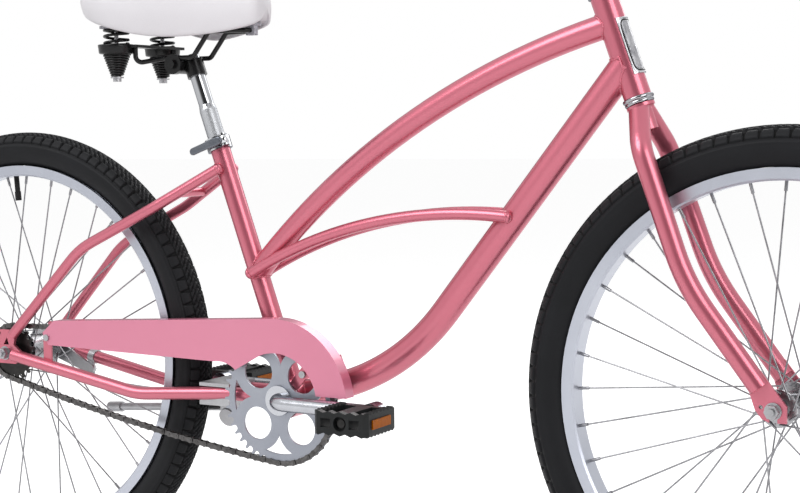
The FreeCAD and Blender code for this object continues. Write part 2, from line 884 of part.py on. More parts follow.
def spoke(side, offset, circle, face):
    """One spoke of a wheel at the origin that turns about Y, with its elbow and its nipple.

    It leaves the flange's outer face (face 1) or inner face (face -1) and crosses to the rim.
    """
    wire = size("spoke_radius")
    half = size("hub_flange_width") / 2
    lift = wire + (size("spoke_lift") if face > 0 else 0)
    start_y = side * (size(offset) + face * (half + lift))
    back_y = side * (size(offset) - face * (half + wire))
    end_y = side * (size("spoke_rim_offset") + face * size("spoke_rim_spread") / 2)
    swing = math.radians(size("spoke_crossing_angle")) * face
    shift = math.pi / count("spoke_count") * (1 - side)
    bed = size("rim_radius") - size("rim_depth")
    reach = bed + size("nipple_radius")
    start = Vector(size(circle), start_y, 0)
    back = Vector(size(circle), back_y, 0)
    end = Vector(reach * math.cos(swing + shift), end_y, reach * math.sin(swing + shift))
    along = (end - start).normalize()
    length = (end - start).Length
    nipple = size("nipple_length") + size("nipple_radius")
    pieces = [
        Part.makeCylinder(wire, abs(start_y - back_y), back, (start - back).normalize()),
        Part.makeSphere(wire, start),
        Part.makeCylinder(wire, length, start, along),
        Part.makeCylinder(size("nipple_radius"), nipple, end - along * nipple, along),
    ]
    whole = pieces[0].multiFuse(pieces[1:]).removeSplitter()
    inside = Part.makeCylinder(bed, 4 * size("rim_half_width") + 2 * size(offset), Vector(0, 0, 0), Y)
    inside.translate(Y * -(2 * size("rim_half_width") + size(offset)))
    return whole.common(inside).Solids[0]


def spokes(name, axle, offset, circle):
    """All spokes of one wheel: each flange has them in turn on its outer and its inner face."""
    steps = count("spoke_count") // 4
    laced = []
    for side in (RIGHT, LEFT):
        for face in (1, -1):
            master = spoke(side, offset, circle, face)
            first = 90.0 / steps * (1 - face)
            for step in range(steps):
                turn = Rotation(Y, 360.0 / steps * step + first)
                laced.append(master.transformed(Placement(Vector(), turn).toMatrix(), True))
    lacing = shaped(name, Part.makeCompound(laced))
    lacing.Placement = Placement(axle, Rotation())
    return lacing


def hub(name, axle, outline, circle):
    """Turned hub shell with a ring of spoke holes through both flanges."""
    shell = turned(f"{name}_shell", outline, axle)
    drill = Part.makeCylinder(size("spoke_radius"), size("rear_spacing"), Vector(size(circle), 0, 0), Y)
    drill.translate(Y * (-size("rear_spacing") / 2))
    holes = count("spoke_count") // 2
    turns = [Rotation(Y, 360.0 / holes * step) for step in range(holes)]
    drills = [drill.transformed(Placement(Vector(), turn).toMatrix(), True) for turn in turns]
    drilling = shaped(f"{name}_drilling", Part.makeCompound(drills))
    drilling.Placement = Placement(axle, Rotation())
    return cut(name, shell, drilling)


def wheel(name, axle, hub_shell, offset, circle):
    """Everything that turns with one wheel."""
    node(tyre(f"{name}_tyre", axle))
    valve_way = slope(size(f"{name}_valve_angle"))
    node(rim(f"{name}_rim", axle, valve_way))
    node(valve(f"{name}_valve", axle, valve_way))
    node(spokes(f"{name}_spokes", axle, offset, circle))
    node(hub(f"{name}_hub", axle, hub_shell, circle))


def front_hub_outline():
    """Slim hub shell with a flange near each end, running on the axle."""
    end = "(front_spacing / 2 - front_cone_length - side_clearance)"
    bore = "axle_radius + running_clearance"
    outer = "(front_flange_offset + hub_flange_width / 2)"
    inner = "(front_flange_offset - hub_flange_width / 2)"
    return [
        (f"-{end}", bore),
        (f"-{end}", "front_end_radius"),
        (f"-{outer}", "front_end_radius"),
        (f"-{outer}", "front_flange_radius"),
        (f"-{inner}", "front_flange_radius"),
        (f"-{inner}", "front_barrel_radius"),
        (inner, "front_barrel_radius"),
        (inner, "front_flange_radius"),
        (outer, "front_flange_radius"),
        (outer, "front_end_radius"),
        (end, "front_end_radius"),
        (end, bore),
    ]


REAR_HUB_LEFT = (
    "(rear_spacing / 2 - rear_left_cone_length - brake_arm_thickness - dust_plate_width - side_clearance)"
)


def rear_hub_outline():
    """Wide coaster-brake shell between the driver and the brake's dust plate."""
    bore = "axle_radius + running_clearance"
    outer = "(rear_flange_offset + hub_flange_width / 2)"
    inner = "(rear_flange_offset - hub_flange_width / 2)"
    return [
        ("-hub_shell_right", bore),
        ("-hub_shell_right", "rear_end_radius"),
        (f"-{outer}", "rear_end_radius"),
        (f"-{outer}", "rear_flange_radius"),
        (f"-{inner}", "rear_flange_radius"),
        (f"-{inner}", "rear_barrel_radius"),
        (inner, "rear_barrel_radius"),
        (inner, "rear_flange_radius"),
        (outer, "rear_flange_radius"),
        (outer, "rear_end_radius"),
        (REAR_HUB_LEFT, "rear_end_radius"),
        (REAR_HUB_LEFT, bore),
    ]


def axle_nuts(name, axle, face):
    """Washer and hexagon nut against the outside of each tip; face is the tip's outer face."""
    pieces = []
    for side, word in ((RIGHT, "right"), (LEFT, "left")):
        outward = Y * side
        seat = axle + outward * value(face)
        washer = cylinder(f"{name}_{word}_washer", "washer_radius", "washer_height", seat, outward)
        nut_seat = seat + outward * size("washer_height")
        nut = hexagon(f"{name}_{word}_hex", "axle_nut_radius", "axle_nut_height", nut_seat, outward)
        both = fuse(f"{name}_{word}_blank", washer, nut)
        height = "washer_height + axle_nut_height"
        hole = cylinder(f"{name}_{word}_hole", "axle_radius", height, seat, outward)
        pieces.append(cut(f"{name}_{word}", both, hole))
    return pieces


def wheels():
    """Both wheels, their axles and their axle nuts."""
    wheel("front", FRONT_AXLE, front_hub_outline(), "front_flange_offset", "front_spoke_circle")
    wheel("rear", REAR_AXLE, rear_hub_outline(), "rear_flange_offset", "rear_spoke_circle")

    front_face = "front_spacing / 2 + fork_tip_thickness"
    front_end = f"({front_face} + washer_height + axle_nut_height + axle_overhang)"
    cone = "(front_spacing / 2 - front_cone_length)"
    front_axle = [
        (f"-{front_end}", "0"),
        (f"-{front_end}", "axle_radius"),
        ("-front_spacing / 2", "axle_radius"),
        ("-front_spacing / 2", "cone_radius"),
        (f"-{cone}", "cone_radius"),
        (f"-{cone}", "axle_radius"),
        (cone, "axle_radius"),
        (cone, "cone_radius"),
        ("front_spacing / 2", "cone_radius"),
        ("front_spacing / 2", "axle_radius"),
        (front_end, "axle_radius"),
        (front_end, "0"),
    ]
    front_rod = turned("front_axle_rod", front_axle, FRONT_AXLE)
    node(group("front_axle", front_rod, *axle_nuts("front_axle_nut", FRONT_AXLE, front_face)))

    rear_face = "rear_spacing / 2 + dropout_thickness"
    rear_end = f"({rear_face} + washer_height + axle_nut_height + axle_overhang)"
    arm_face = "(rear_spacing / 2 - rear_left_cone_length)"
    rear_axle = [
        (f"-{rear_end}", "0"),
        (f"-{rear_end}", "axle_radius"),
        ("-rear_spacing / 2", "axle_radius"),
        ("-rear_spacing / 2", "cone_radius"),
        ("rear_right_cone_length - rear_spacing / 2", "cone_radius"),
        ("rear_right_cone_length - rear_spacing / 2", "axle_radius"),
        (arm_face, "axle_radius"),
        (arm_face, "cone_radius"),
        ("rear_spacing / 2", "cone_radius"),
        ("rear_spacing / 2", "axle_radius"),
        (rear_end, "axle_radius"),
        (rear_end, "0"),
    ]
    rear_rod = turned("rear_axle_rod", rear_axle, REAR_AXLE)
    node(group("rear_axle", rear_rod, *axle_nuts("rear_axle_nut", REAR_AXLE, rear_face)))


# Chain drive

CHAINRING_RADIUS = pitch_radius("chainring_teeth")
SPROCKET_RADIUS = pitch_radius("sprocket_teeth")
DRIVE_TILT = wrap_tilt(DRIVE_LENGTH)
DRIVE_ANGLE = math.atan2(BRACKET.z - REAR_AXLE.z, BRACKET.x - REAR_AXLE.x)
UPPER_ANGLE = DRIVE_ANGLE + math.pi / 2 + DRIVE_TILT
LOWER_ANGLE = DRIVE_ANGLE - math.pi / 2 - DRIVE_TILT
RUN_LINKS = DRIVE_LENGTH * math.cos(DRIVE_TILT) / size("chain_pitch")
FRONT_LINKS = count("chainring_teeth") * (math.pi + 2 * DRIVE_TILT) / (2 * math.pi)


def round_at(middle, radius, angle):
    """Point in the side view at an angle on a circle."""
    return middle + Vector(math.cos(angle), 0, math.sin(angle)) * radius


def chain_joint(place):
    """Place of a chain pin, counted in links from the sprocket's top along the upper run."""
    front_turn = 2 * math.pi / count("chainring_teeth")
    back_turn = 2 * math.pi / count("sprocket_teeth")
    if place <= RUN_LINKS:
        start = round_at(REAR_AXLE, SPROCKET_RADIUS, UPPER_ANGLE)
        end = round_at(BRACKET, CHAINRING_RADIUS, UPPER_ANGLE)
        return start + (end - start) * (place / RUN_LINKS)
    place -= RUN_LINKS
    if place <= FRONT_LINKS:
        return round_at(BRACKET, CHAINRING_RADIUS, UPPER_ANGLE - place * front_turn)
    place -= FRONT_LINKS
    if place <= RUN_LINKS:
        start = round_at(BRACKET, CHAINRING_RADIUS, LOWER_ANGLE)
        end = round_at(REAR_AXLE, SPROCKET_RADIUS, LOWER_ANGLE)
        share = place / RUN_LINKS
        sag = 4 * size("chain_sag") * share * (1 - share)
        return round_at(start + (end - start) * share, sag, LOWER_ANGLE)
    place -= RUN_LINKS
    return round_at(REAR_AXLE, SPROCKET_RADIUS, LOWER_ANGLE - place * back_turn)


def link_plate(inner_face):
    """Pair of waisted plates of one chain link, drawn along X from pin to pin."""
    pitch = size("chain_pitch")
    end = size("chain_plate_radius")
    waist = size("chain_plate_waist")
    edges = [
        Part.Arc(Vector(0, 0, end), Vector(-end, 0, 0), Vector(0, 0, -end)),
        Part.Arc(Vector(0, 0, -end), Vector(pitch / 2, 0, -waist), Vector(pitch, 0, -end)),
        Part.Arc(Vector(pitch, 0, -end), Vector(pitch + end, 0, 0), Vector(pitch, 0, end)),
        Part.Arc(Vector(pitch, 0, end), Vector(pitch / 2, 0, waist), Vector(0, 0, end)),
    ]
    face = Part.Face(Part.Wire([edge.toShape() for edge in edges]))
    plates = []
    for low in (inner_face, -inner_face - size("chain_plate_thickness")):
        plate_solid = face.extrude(Y * size("chain_plate_thickness"))
        plate_solid.translate(Y * low)
        plates.append(plate_solid)
    return plates


def link_bars(radius, half_width):
    """Round bars across a link at its two pins."""
    bars = []
    for place in (0, size("chain_pitch")):
        bars.append(Part.makeCylinder(radius, 2 * half_width, Vector(place, -half_width, 0), Y))
    return bars


def chain_links():
    """One inner link with its rollers and one outer link with its pins."""
    inner_face = size("chain_inner_width") / 2
    thickness = size("chain_plate_thickness")
    outer_face = inner_face + thickness + size("chain_plate_gap")
    head = outer_face + thickness + size("chain_pin_head")
    inner_parts = link_plate(inner_face) + link_bars(size("roller_radius"), inner_face)
    inner = inner_parts[0].multiFuse(inner_parts[1:])
    bore = size("chain_pin_radius") + size("running_clearance")
    inner = inner.cut(link_bars(bore, head)).removeSplitter()
    outer_parts = link_plate(outer_face) + link_bars(size("chain_pin_radius"), head)
    outer = outer_parts[0].multiFuse(outer_parts[1:]).removeSplitter()
    return inner.Solids[0], outer.Solids[0]


def chain():
    """Roller chain round both sprockets, slack below, inner and outer links in turn."""
    kinds = chain_links()
    total = count("chain_links")
    links = []
    for place in range(total):
        start = chain_joint(place)
        end = chain_joint((place + 1) % total)
        placement = Placement(start, Rotation(X, end - start))
        links.append(kinds[place % 2].transformed(placement.toMatrix(), True))
    loop = shaped("chain", Part.makeCompound(links))
    loop.Placement = Placement(Y * -size("chain_line"), Rotation())
    return loop


def toothed_body(name, teeth, base, angle):
    """Sprocket plate with a ring of roller seats, the first of them at this angle."""
    radius = f"chain_pitch / (2 * sin(180 / {teeth}))"
    seat = "(roller_radius + roller_seat_clearance)"
    body = doc.addObject("PartDesign::Body", name)
    disc = new_sketch(body, f"{name}_disc")
    add_circle(disc, "0", "0", f"{radius} + tooth_height")
    pad(body, disc, "sprocket_thickness")
    gap = new_sketch(body, f"{name}_gap")
    outer = f"{radius} + 2 * tooth_height"
    add_outline(gap, [
        (radius, seat, seat, 1),
        (f"{radius} - {seat}", "0", seat, 1),
        (radius, f"-{seat}"),
        (outer, f"-({seat} + tooth_gap_flare)"),
        (outer, f"{seat} + tooth_gap_flare"),
    ])
    pattern(body, pocket(body, gap), disc, teeth)
    body.Placement = Placement(base, SIDE_VIEW * Rotation(Z, math.degrees(angle)))
    return body, disc


def chainring():
    """Flat chainring with round holes and curved three-sided windows in turn."""
    turn = 2 * math.pi / count("chainring_teeth")
    angle = math.remainder(UPPER_ANGLE + RUN_LINKS * turn, turn)
    face = BRACKET - Y * (size("chain_line") - size("sprocket_thickness") / 2)
    body, disc = toothed_body("chainring", "chainring_teeth", face, angle)
    bore = new_sketch(body, "chainring_bore")
    add_circle(bore, "0", "0", "crank_radius + running_clearance")
    pocket(body, bore)
    hole = new_sketch(body, "chainring_hole")
    hole_place = ("chainring_hole_circle * cos(45)", "chainring_hole_circle * sin(45)")
    add_circle(hole, *hole_place, "chainring_round_hole")
    pattern(body, pocket(body, hole), disc, "chainring_holes")
    window = new_sketch(body, "chainring_window")
    across = "chainring_window_outer * cos(chainring_window_half_angle)"
    up = "chainring_window_outer * sin(chainring_window_half_angle)"
    add_outline(window, [
        (across, up, "chainring_window_outer", -1),
        (across, f"-{up}", "chainring_window_side", 1),
        ("chainring_window_inner", "0", "chainring_window_side", 1),
    ])
    pattern(body, pocket(body, window), disc, "chainring_holes")
    return body


def rear_sprocket():
    """Rear sprocket on the coaster hub's driver."""
    turn = 2 * math.pi / count("sprocket_teeth")
    angle = math.remainder(LOWER_ANGLE + (2 * RUN_LINKS + FRONT_LINKS) * turn, turn)
    face = REAR_AXLE - Y * (size("chain_line") - size("sprocket_thickness") / 2)
    body, _ = toothed_body("rear_sprocket_plate", "sprocket_teeth", face, angle)
    inner = "hub_shell_right + side_clearance"
    outer = "rear_spacing / 2 - rear_right_cone_length - side_clearance"
    barrel = cylinder(
        "rear_sprocket_driver", "driver_radius", f"({outer}) - ({inner})", REAR_AXLE - Y * value(inner), -Y
    )
    bore = centred_bar("rear_sprocket_bore", "axle_radius + running_clearance", "rear_spacing / 2", REAR_AXLE)
    return cut("rear_sprocket", fuse("rear_sprocket_blank", body, barrel), bore)


def chain_drive():
    """Chain and both sprockets."""
    node(chain())
    node(chainring())
    node(rear_sprocket())


# Frame

WORDS = {RIGHT: "right", LEFT: "left"}
DROPOUT_MIDDLE = size("rear_spacing") / 2 + size("dropout_thickness") / 2


def dropout(side):
    """Rear dropout plate: slot open to the rear, eyelet above it and a three-sided window."""
    slot = "(axle_radius + dropout_slot_clearance)"
    outline = [
        ("-dropout_tail", "-dropout_half_height"),
        ("dropout_nose - dropout_chamfer", "-dropout_half_height"),
        ("dropout_nose", "-dropout_half_height + dropout_chamfer_rise"),
        ("dropout_nose", "dropout_nose_top"),
        ("dropout_waist_forward", "dropout_waist_height"),
        ("dropout_top_forward + dropout_top_half_width", "dropout_top"),
        ("dropout_top_forward - dropout_top_half_width", "dropout_top + dropout_top_slope"),
        ("dropout_eyelet_front - dropout_eyelet_back", "dropout_eyelet_rise + dropout_eyelet_crown"),
        ("-dropout_eyelet_back - dropout_eyelet_front", "dropout_eyelet_rise + dropout_eyelet_shoulder"),
        ("-dropout_eyelet_back - dropout_eyelet_shoulder", "dropout_eyelet_rise - dropout_eyelet_heel"),
        ("dropout_eyelet_neck - dropout_eyelet_back", "dropout_half_height"),
        ("-dropout_tail", "dropout_half_height - dropout_tail_slope"),
        ("-dropout_tail", slot),
        ("0", slot, slot, -1),
        (slot, "0", slot, -1),
        ("0", f"-{slot}"),
        ("-dropout_tail", f"-{slot}"),
    ]
    eyelet = ("-dropout_eyelet_back", "dropout_eyelet_rise", "dropout_eyelet_radius")
    inner = value("rear_spacing / 2" if side == RIGHT else "-rear_spacing / 2 - dropout_thickness")
    name = f"dropout_{WORDS[side]}"
    body = plate(name, outline, "dropout_thickness", REAR_AXLE - Y * inner, [eyelet])
    window = new_sketch(body, f"{name}_window")
    add_outline(window, [
        ("-dropout_window_back", "dropout_window_low"),
        ("dropout_window_front", "dropout_window_low"),
        ("dropout_window_apex", "dropout_window_high"),
    ])
    pocket(body, window)
    return body


def chainstay_wire(side):
    """Chainstay from the dropout, past the tyre, in to the bottom bracket."""
    start = REAR_AXLE + Vector(size("chainstay_start"), side * DROPOUT_MIDDLE, -size("chainstay_start_drop"))
    bend = Vector(
        BRACKET.x - size("chainstay_bend_back"),
        side * size("chainstay_bend_offset"),
        REAR_AXLE.z - size("chainstay_bend_drop"),
    )
    neck_offset = value("chainstay_shell_offset + chainstay_neck_spread")
    neck = BRACKET + Vector(-size("chainstay_neck_back"), side * neck_offset, 0)
    end = BRACKET + Vector(0, side * size("chainstay_shell_offset"), 0)
    return bent_wire([start, bend, neck, end], size("stay_bend"))


def seatstay_wire(side):
    """Arched seatstay from the seat tube's side to the dropout."""
    start = on_seat(SEAT_TOP - size("seatstay_top_drop"))
    start.y = side * (size("seat_tube_radius") + size("seatstay_radius") - size("stay_sink"))
    bridge = Vector(
        start.x - size("seatstay_bridge_back"),
        side * size("seatstay_bridge_offset"),
        start.z - size("seatstay_bridge_drop"),
    )
    bend = Vector(
        start.x - size("seatstay_bend_back"),
        side * size("seatstay_bend_offset"),
        start.z - size("seatstay_bend_drop"),
    )
    end_height = value("dropout_top - seatstay_end_inset")
    end = REAR_AXLE + Vector(size("dropout_top_forward"), side * DROPOUT_MIDDLE, end_height)
    return bent_wire([start, bridge, bend, end], size("stay_bend"))


def down_tube_head():
    """Upper end of the down tube, its direction there and the angle of the line to the bottom bracket."""
    start = on_head(HEAD_LOW + size("down_tube_head_rise"))
    chord = start - BRACKET
    chord_angle = math.degrees(math.atan2(chord.z, chord.x))
    return start, slope(chord_angle + size("down_tube_head_turn")), chord_angle


def down_tube_wire():
    """Down tube: straight from the head tube, then bent flat to the bottom bracket."""
    start, along, chord_angle = down_tube_head()
    foot = slope(chord_angle - size("down_tube_foot_turn"))
    gap = start - BRACKET
    reach = (gap.x * along.z - gap.z * along.x) / (foot.x * along.z - foot.z * along.x)
    return bent_wire([start, BRACKET + foot * reach, BRACKET], size("down_tube_bend"))


def top_tube_wire():
    """Top tube: one long arc from low on the seat tube up to the head tube."""
    start = on_seat(size("top_tube_seat_height"))
    end = on_head(HEAD_HIGH - size("top_tube_head_drop"))
    chord = (end - start).normalize()
    return arched_wire(start, end, size("top_tube_rise"), Vector(-chord.z, 0, chord.x))


def mid_tube_wire(side):
    """Slim arched tube along the side of the frame from the seat tube to the down tube."""
    start = on_seat(size("mid_tube_seat_height"))
    start.y = side * (size("down_tube_radius") + size("mid_tube_radius") - size("mid_tube_sink"))
    head, along, _ = down_tube_head()
    end = head - along * size("mid_tube_head_run")
    end.y = start.y
    chord = (end - start).normalize()
    return arched_wire(start, end, size("mid_tube_rise"), Vector(-chord.z, 0, chord.x))


def frame():
    """Welded frame: every tube is cut to its neighbours' outsides."""
    shell_bar = centred_bar("shell_bar", "shell_radius", "shell_half_width", BRACKET)
    shell_bore = centred_bar("shell_bore", "shell_radius - shell_wall", "shell_half_width", BRACKET)
    node(cut("bottom_bracket_shell", shell_bar, shell_bore))

    head_bar = cylinder("head_bar", "head_tube_radius", "head_tube_length", on_head(HEAD_LOW), HEAD_AXIS)
    head_bore = cylinder(
        "head_bore", "head_tube_radius - head_tube_wall", "head_tube_length", on_head(HEAD_LOW), HEAD_AXIS
    )
    node(cut("head_tube", head_bar, head_bore))

    seat_bar = cylinder("seat_bar", "seat_tube_radius", "seat_tube_length", BRACKET, SEAT_AXIS)
    seat_bore = cylinder(
        "seat_bore", "seat_tube_radius - seat_tube_wall", "seat_tube_length", BRACKET, SEAT_AXIS
    )
    slot = block(
        "seat_slot",
        "2 * seat_tube_radius",
        "seat_slot_width",
        "2 * seat_slot_length",
        on_seat(SEAT_TOP) - SEAT_FRONT * size("seat_tube_radius"),
        Rotation(Z, SEAT_AXIS),
    )
    node(cut("seat_tube", seat_bar, seat_bore, shell_bar, slot))

    top_tube, top_bar = tube(
        "top_tube", top_tube_wire(), "top_tube_radius", "frame_tube_wall", head_bar, seat_bar
    )
    node(top_tube)
    down_tube, down_bar = tube(
        "down_tube", down_tube_wire(), "down_tube_radius", "frame_tube_wall", head_bar, shell_bar, seat_bar
    )
    node(down_tube)

    stays = {}
    mid_tubes = []
    dropouts = []
    for side, word in WORDS.items():
        mid_tube, _ = tube(
            f"mid_tube_{word}", mid_tube_wire(side), "mid_tube_radius", "stay_wall",
            seat_bar, top_bar, down_bar, closed=True,
        )
        mid_tubes.append(mid_tube)
        plate_end = dropout(side)
        dropouts.append(plate_end)
        chainstay, stays["chain", side] = tube(
            f"chainstay_{word}", chainstay_wire(side), "chainstay_radius", "stay_wall",
            plate_end, shell_bar, seat_bar, down_bar, closed=True,
        )
        node(chainstay)
        seatstay, stays["seat", side] = tube(
            f"seatstay_{word}", seatstay_wire(side), "seatstay_radius", "stay_wall",
            plate_end, seat_bar, closed=True,
        )
        node(seatstay)
    node(group("mid_tubes", *mid_tubes))
    node(group("dropouts", *dropouts))

    start = seatstay_wire(LEFT).OrderedVertexes[0].Point
    share = size("bridge_back") / size("seatstay_bridge_back")
    middle = Vector(start.x - size("bridge_back"), 0, start.z - size("seatstay_bridge_drop") * share)
    half_span = start.y + (size("seatstay_bridge_offset") - start.y) * share
    bridge = centred_bar("seatstay_bridge_bar", "bridge_radius", f"{half_span}", middle)
    node(cut("seatstay_bridge", bridge, stays["seat", RIGHT], stays["seat", LEFT]))
    return stays, shell_bar


def bottom_bracket_cups():
    """Pressed cups that the crank's cones run in."""
    cups = []
    for side, word in WORDS.items():
        outline = [
            ("shell_half_width - cup_depth", "cup_bore_radius"),
            ("shell_half_width - cup_depth", "shell_radius - shell_wall"),
            ("shell_half_width", "shell_radius - shell_wall"),
            ("shell_half_width", "cup_flange_radius"),
            ("shell_half_width + cup_flange_width", "cup_flange_radius"),
            ("shell_half_width + cup_flange_width", "cup_bore_radius"),
        ]
        cups.append(turned(f"bottom_bracket_cup_{word}", outline, BRACKET, Y * side))
    return group("bottom_bracket_cups", *cups)


def headset_cups():
    """Cups pressed into both ends of the head tube, bored for the steerer."""
    bore = "steerer_radius + running_clearance"
    outline = [
        ("-cup_insert", bore),
        ("-cup_insert", "head_tube_radius - head_tube_wall"),
        ("0", "head_tube_radius - head_tube_wall"),
        ("0", "cup_radius"),
        ("cup_height", "cup_radius - cup_taper"),
        ("cup_height", bore),
    ]
    lower = turned("headset_cup_lower", outline, on_head(HEAD_LOW), -HEAD_AXIS)
    upper = turned("headset_cup_upper", outline, on_head(HEAD_HIGH), HEAD_AXIS)
    return group("headset_cups", lower, upper)


def head_badge():
    """Plain curved plate on the front of the head tube."""
    base = on_head(HEAD_LOW + (size("head_tube_length") - size("badge_height")) / 2 + size("badge_lift"))
    outer = cylinder("head_badge_outer", "head_tube_radius + badge_thickness", "badge_height", base)
    bind(outer, Angle="badge_angle")
    spin = Rotation(Z, -size("badge_angle") / 2)
    outer.Placement = Placement(base, Rotation(HEAD_FRONT, Y, HEAD_AXIS, "ZXY") * spin)
    inner = cylinder("head_badge_inner", "head_tube_radius", "badge_height", base, HEAD_AXIS)
    return cut("head_badge", outer, inner)


LEVER_PIVOT = on_seat(SEAT_TOP + size("collar_lip") - size("collar_height") / 2) + (
    SEAT_FRONT * math.cos(math.radians(size("lever_pivot_angle")))
    - Y * math.sin(math.radians(size("lever_pivot_angle")))
) * size("lever_pivot_reach")


def seat_collar():
    """Clamp collar round the top of the seat tube, with a lip over it and a forked lug for its lever."""
    inner = "seat_tube_radius"
    outline = [
        ("collar_lip - collar_height", inner),
        ("collar_lip - collar_height", "seat_tube_radius + collar_wall"),
        ("collar_lip", "seat_tube_radius + collar_wall"),
        ("collar_lip", "seat_tube_radius - seat_tube_wall + side_clearance"),
        ("0", "seat_tube_radius - seat_tube_wall + side_clearance"),
        ("0", inner),
    ]
    ring = turned("seat_collar_ring", outline, on_seat(SEAT_TOP), SEAT_AXIS)
    middle = on_seat(SEAT_TOP + size("collar_lip") - size("collar_height") / 2)
    outward = (LEVER_PIVOT - middle).normalize()
    eye = centred_bar("seat_collar_eye", "lever_pivot_radius", "collar_height / 2", LEVER_PIVOT, SEAT_AXIS)
    inner = middle + outward * size("seat_tube_radius")
    neck = block(
        "seat_collar_neck",
        "lever_pivot_reach - seat_tube_radius",
        "2 * lever_pivot_radius",
        "collar_height",
        (inner + LEVER_PIVOT) * 0.5,
        Rotation(outward, SEAT_AXIS.cross(outward), SEAT_AXIS, "ZXY"),
    )
    room = centred_bar(
        "seat_collar_room",
        "lever_pivot_radius + lever_room",
        "lever_height / 2 + side_clearance",
        LEVER_PIVOT,
        SEAT_AXIS,
    )
    tube_bar = cylinder("seat_collar_tube", "seat_tube_radius", "seat_tube_length", BRACKET, SEAT_AXIS)
    pin_bar = centred_bar("seat_collar_pin", "skewer_radius", "collar_height / 2", LEVER_PIVOT, SEAT_AXIS)
    forked = cut("seat_collar_forked", fuse("seat_collar_blank", ring, eye, neck), room, tube_bar)
    return fuse("seat_collar", forked, pin_bar)


def seat_lever():
    """Lever that lies along the collar's right side when closed."""
    boss = centred_bar("seat_lever_boss", "lever_pivot_radius", "lever_height / 2", LEVER_PIVOT, SEAT_AXIS)
    beside = value("seat_tube_radius + collar_wall + 2 * side_clearance + lever_thickness / 2")
    front = LEVER_PIVOT - Y * (LEVER_PIVOT.y + beside)
    arm = block(
        "seat_lever_arm",
        "lever_length",
        "lever_thickness",
        "lever_height",
        front - SEAT_FRONT * (size("lever_length") / 2),
        Rotation(SEAT_FRONT, Y, SEAT_AXIS, "ZXY"),
    )
    bore = centred_bar(
        "seat_lever_bore", "skewer_radius + running_clearance", "lever_height / 2", LEVER_PIVOT, SEAT_AXIS
    )
    return cut("seat_lever", fuse("seat_lever_blank", boss, arm), bore)


# Steering

CROWN = HEAD_LOW - size("cup_height") - size("side_clearance") - size("crown_race_height")
STEERER_TOP = HEAD_HIGH + size("cup_height") + size("side_clearance") + size("locknut_height")
STEM_TOP = STEERER_TOP + size("stem_rise")
BAR_MIDDLE = on_head(STEM_TOP - size("stem_arm_radius")) + HEAD_FRONT * size("stem_reach")


def steerer():
    """Steerer tube with the crown race on it."""
    stub = "-steerer_stub"
    top = "crown_race_height + 2 * side_clearance + 2 * cup_height + head_tube_length + locknut_height"
    outline = [
        (stub, "steerer_radius - steerer_wall"),
        (stub, "steerer_radius"),
        ("0", "steerer_radius"),
        ("0", "cup_radius - cup_taper"),
        ("crown_race_height", "cup_radius - cup_taper"),
        ("crown_race_height", "steerer_radius"),
        (top, "steerer_radius"),
        (top, "steerer_radius - steerer_wall"),
    ]
    return turned("fork_steerer", outline, on_head(CROWN), HEAD_AXIS)


def fork_tip(side):
    """Fork tip plate: slot open downward, eyelet behind it."""
    slot = "(axle_radius + dropout_slot_clearance)"
    outline = [
        (slot, "-fork_tip_low"),
        ("fork_tip_nose", "-fork_tip_low"),
        ("fork_tip_nose", "fork_tip_nose_top"),
        ("fork_tip_shoulder", "fork_tip_nose"),
        ("-fork_tip_back", "fork_tip_top"),
        ("-fork_tip_back - fork_tip_end_width", "fork_tip_top - fork_tip_end_slope"),
        ("-fork_tip_back - fork_tip_heel", "0"),
        ("fork_tip_heel_inset - fork_tip_nose", "-fork_tip_heel_drop"),
        (f"-{slot}", "-fork_tip_low"),
        (f"-{slot}", "0", slot, -1),
        ("0", slot, slot, -1),
        (slot, "0"),
    ]
    eyelet = ("fork_eyelet_inset - fork_tip_back", "fork_eyelet_rise", "fork_eyelet_radius")
    inner = value("front_spacing / 2" if side == RIGHT else "-front_spacing / 2 - fork_tip_thickness")
    return plate(f"fork_tip_{WORDS[side]}", outline, "fork_tip_thickness", FRONT_AXLE - Y * inner, [eyelet])


def blade_wire(side):
    """Fork blade from the crown out past the tyre and forward to the tip."""
    crown = on_head(CROWN - size("blade_crown_drop"))
    crown.y = side * size("blade_crown_offset")
    shoulder = on_head(CROWN - size("blade_shoulder_drop"))
    shoulder.y = side * size("blade_offset")
    bend = on_head(size("blade_bend_height"))
    bend.y = side * (size("front_spacing") + size("fork_tip_thickness")) / 2
    end = FRONT_AXLE + Vector(-size("blade_end_back"), bend.y, size("blade_end_rise"))
    start = shoulder + (crown - shoulder) * 1.6
    return bent_wire([start, shoulder, bend, end], size("blade_shoulder_bend"), size("blade_bend"))


def fork():
    """Unicrown fork: steerer, two blades and their tips."""
    node(steerer())
    steerer_bar = cylinder(
        "fork_steerer_bar", "steerer_radius", "2 * steerer_stub",
        on_head(CROWN - size("steerer_stub")), HEAD_AXIS,
    )
    above = cylinder("fork_above_crown", "4 * cup_radius", "4 * cup_radius", on_head(CROWN), HEAD_AXIS)
    tips = []
    for side, word in WORDS.items():
        tip = fork_tip(side)
        tips.append(tip)
        other = block(
            f"fork_other_side_{word}", "wheelbase", "wheelbase", "wheelbase",
            on_head(CROWN) - Y * (side * size("wheelbase") / 2),
        )
        blade, _ = tube(
            f"fork_blade_{word}", blade_wire(side), "blade_radius", "blade_wall",
            steerer_bar, above, other, tip, closed=True,
        )
        node(blade)
    node(group("fork_tips", *tips))


def locknut():
    """Hexagon nut that holds the steerer in the head tube."""
    base = on_head(STEERER_TOP - size("locknut_height"))
    hexa = hexagon("headset_locknut_hex", "locknut_radius", "locknut_height", base, HEAD_AXIS)
    hole = cylinder("headset_locknut_hole", "steerer_radius", "locknut_height", base, HEAD_AXIS)
    return cut("headset_locknut", hexa, hole)


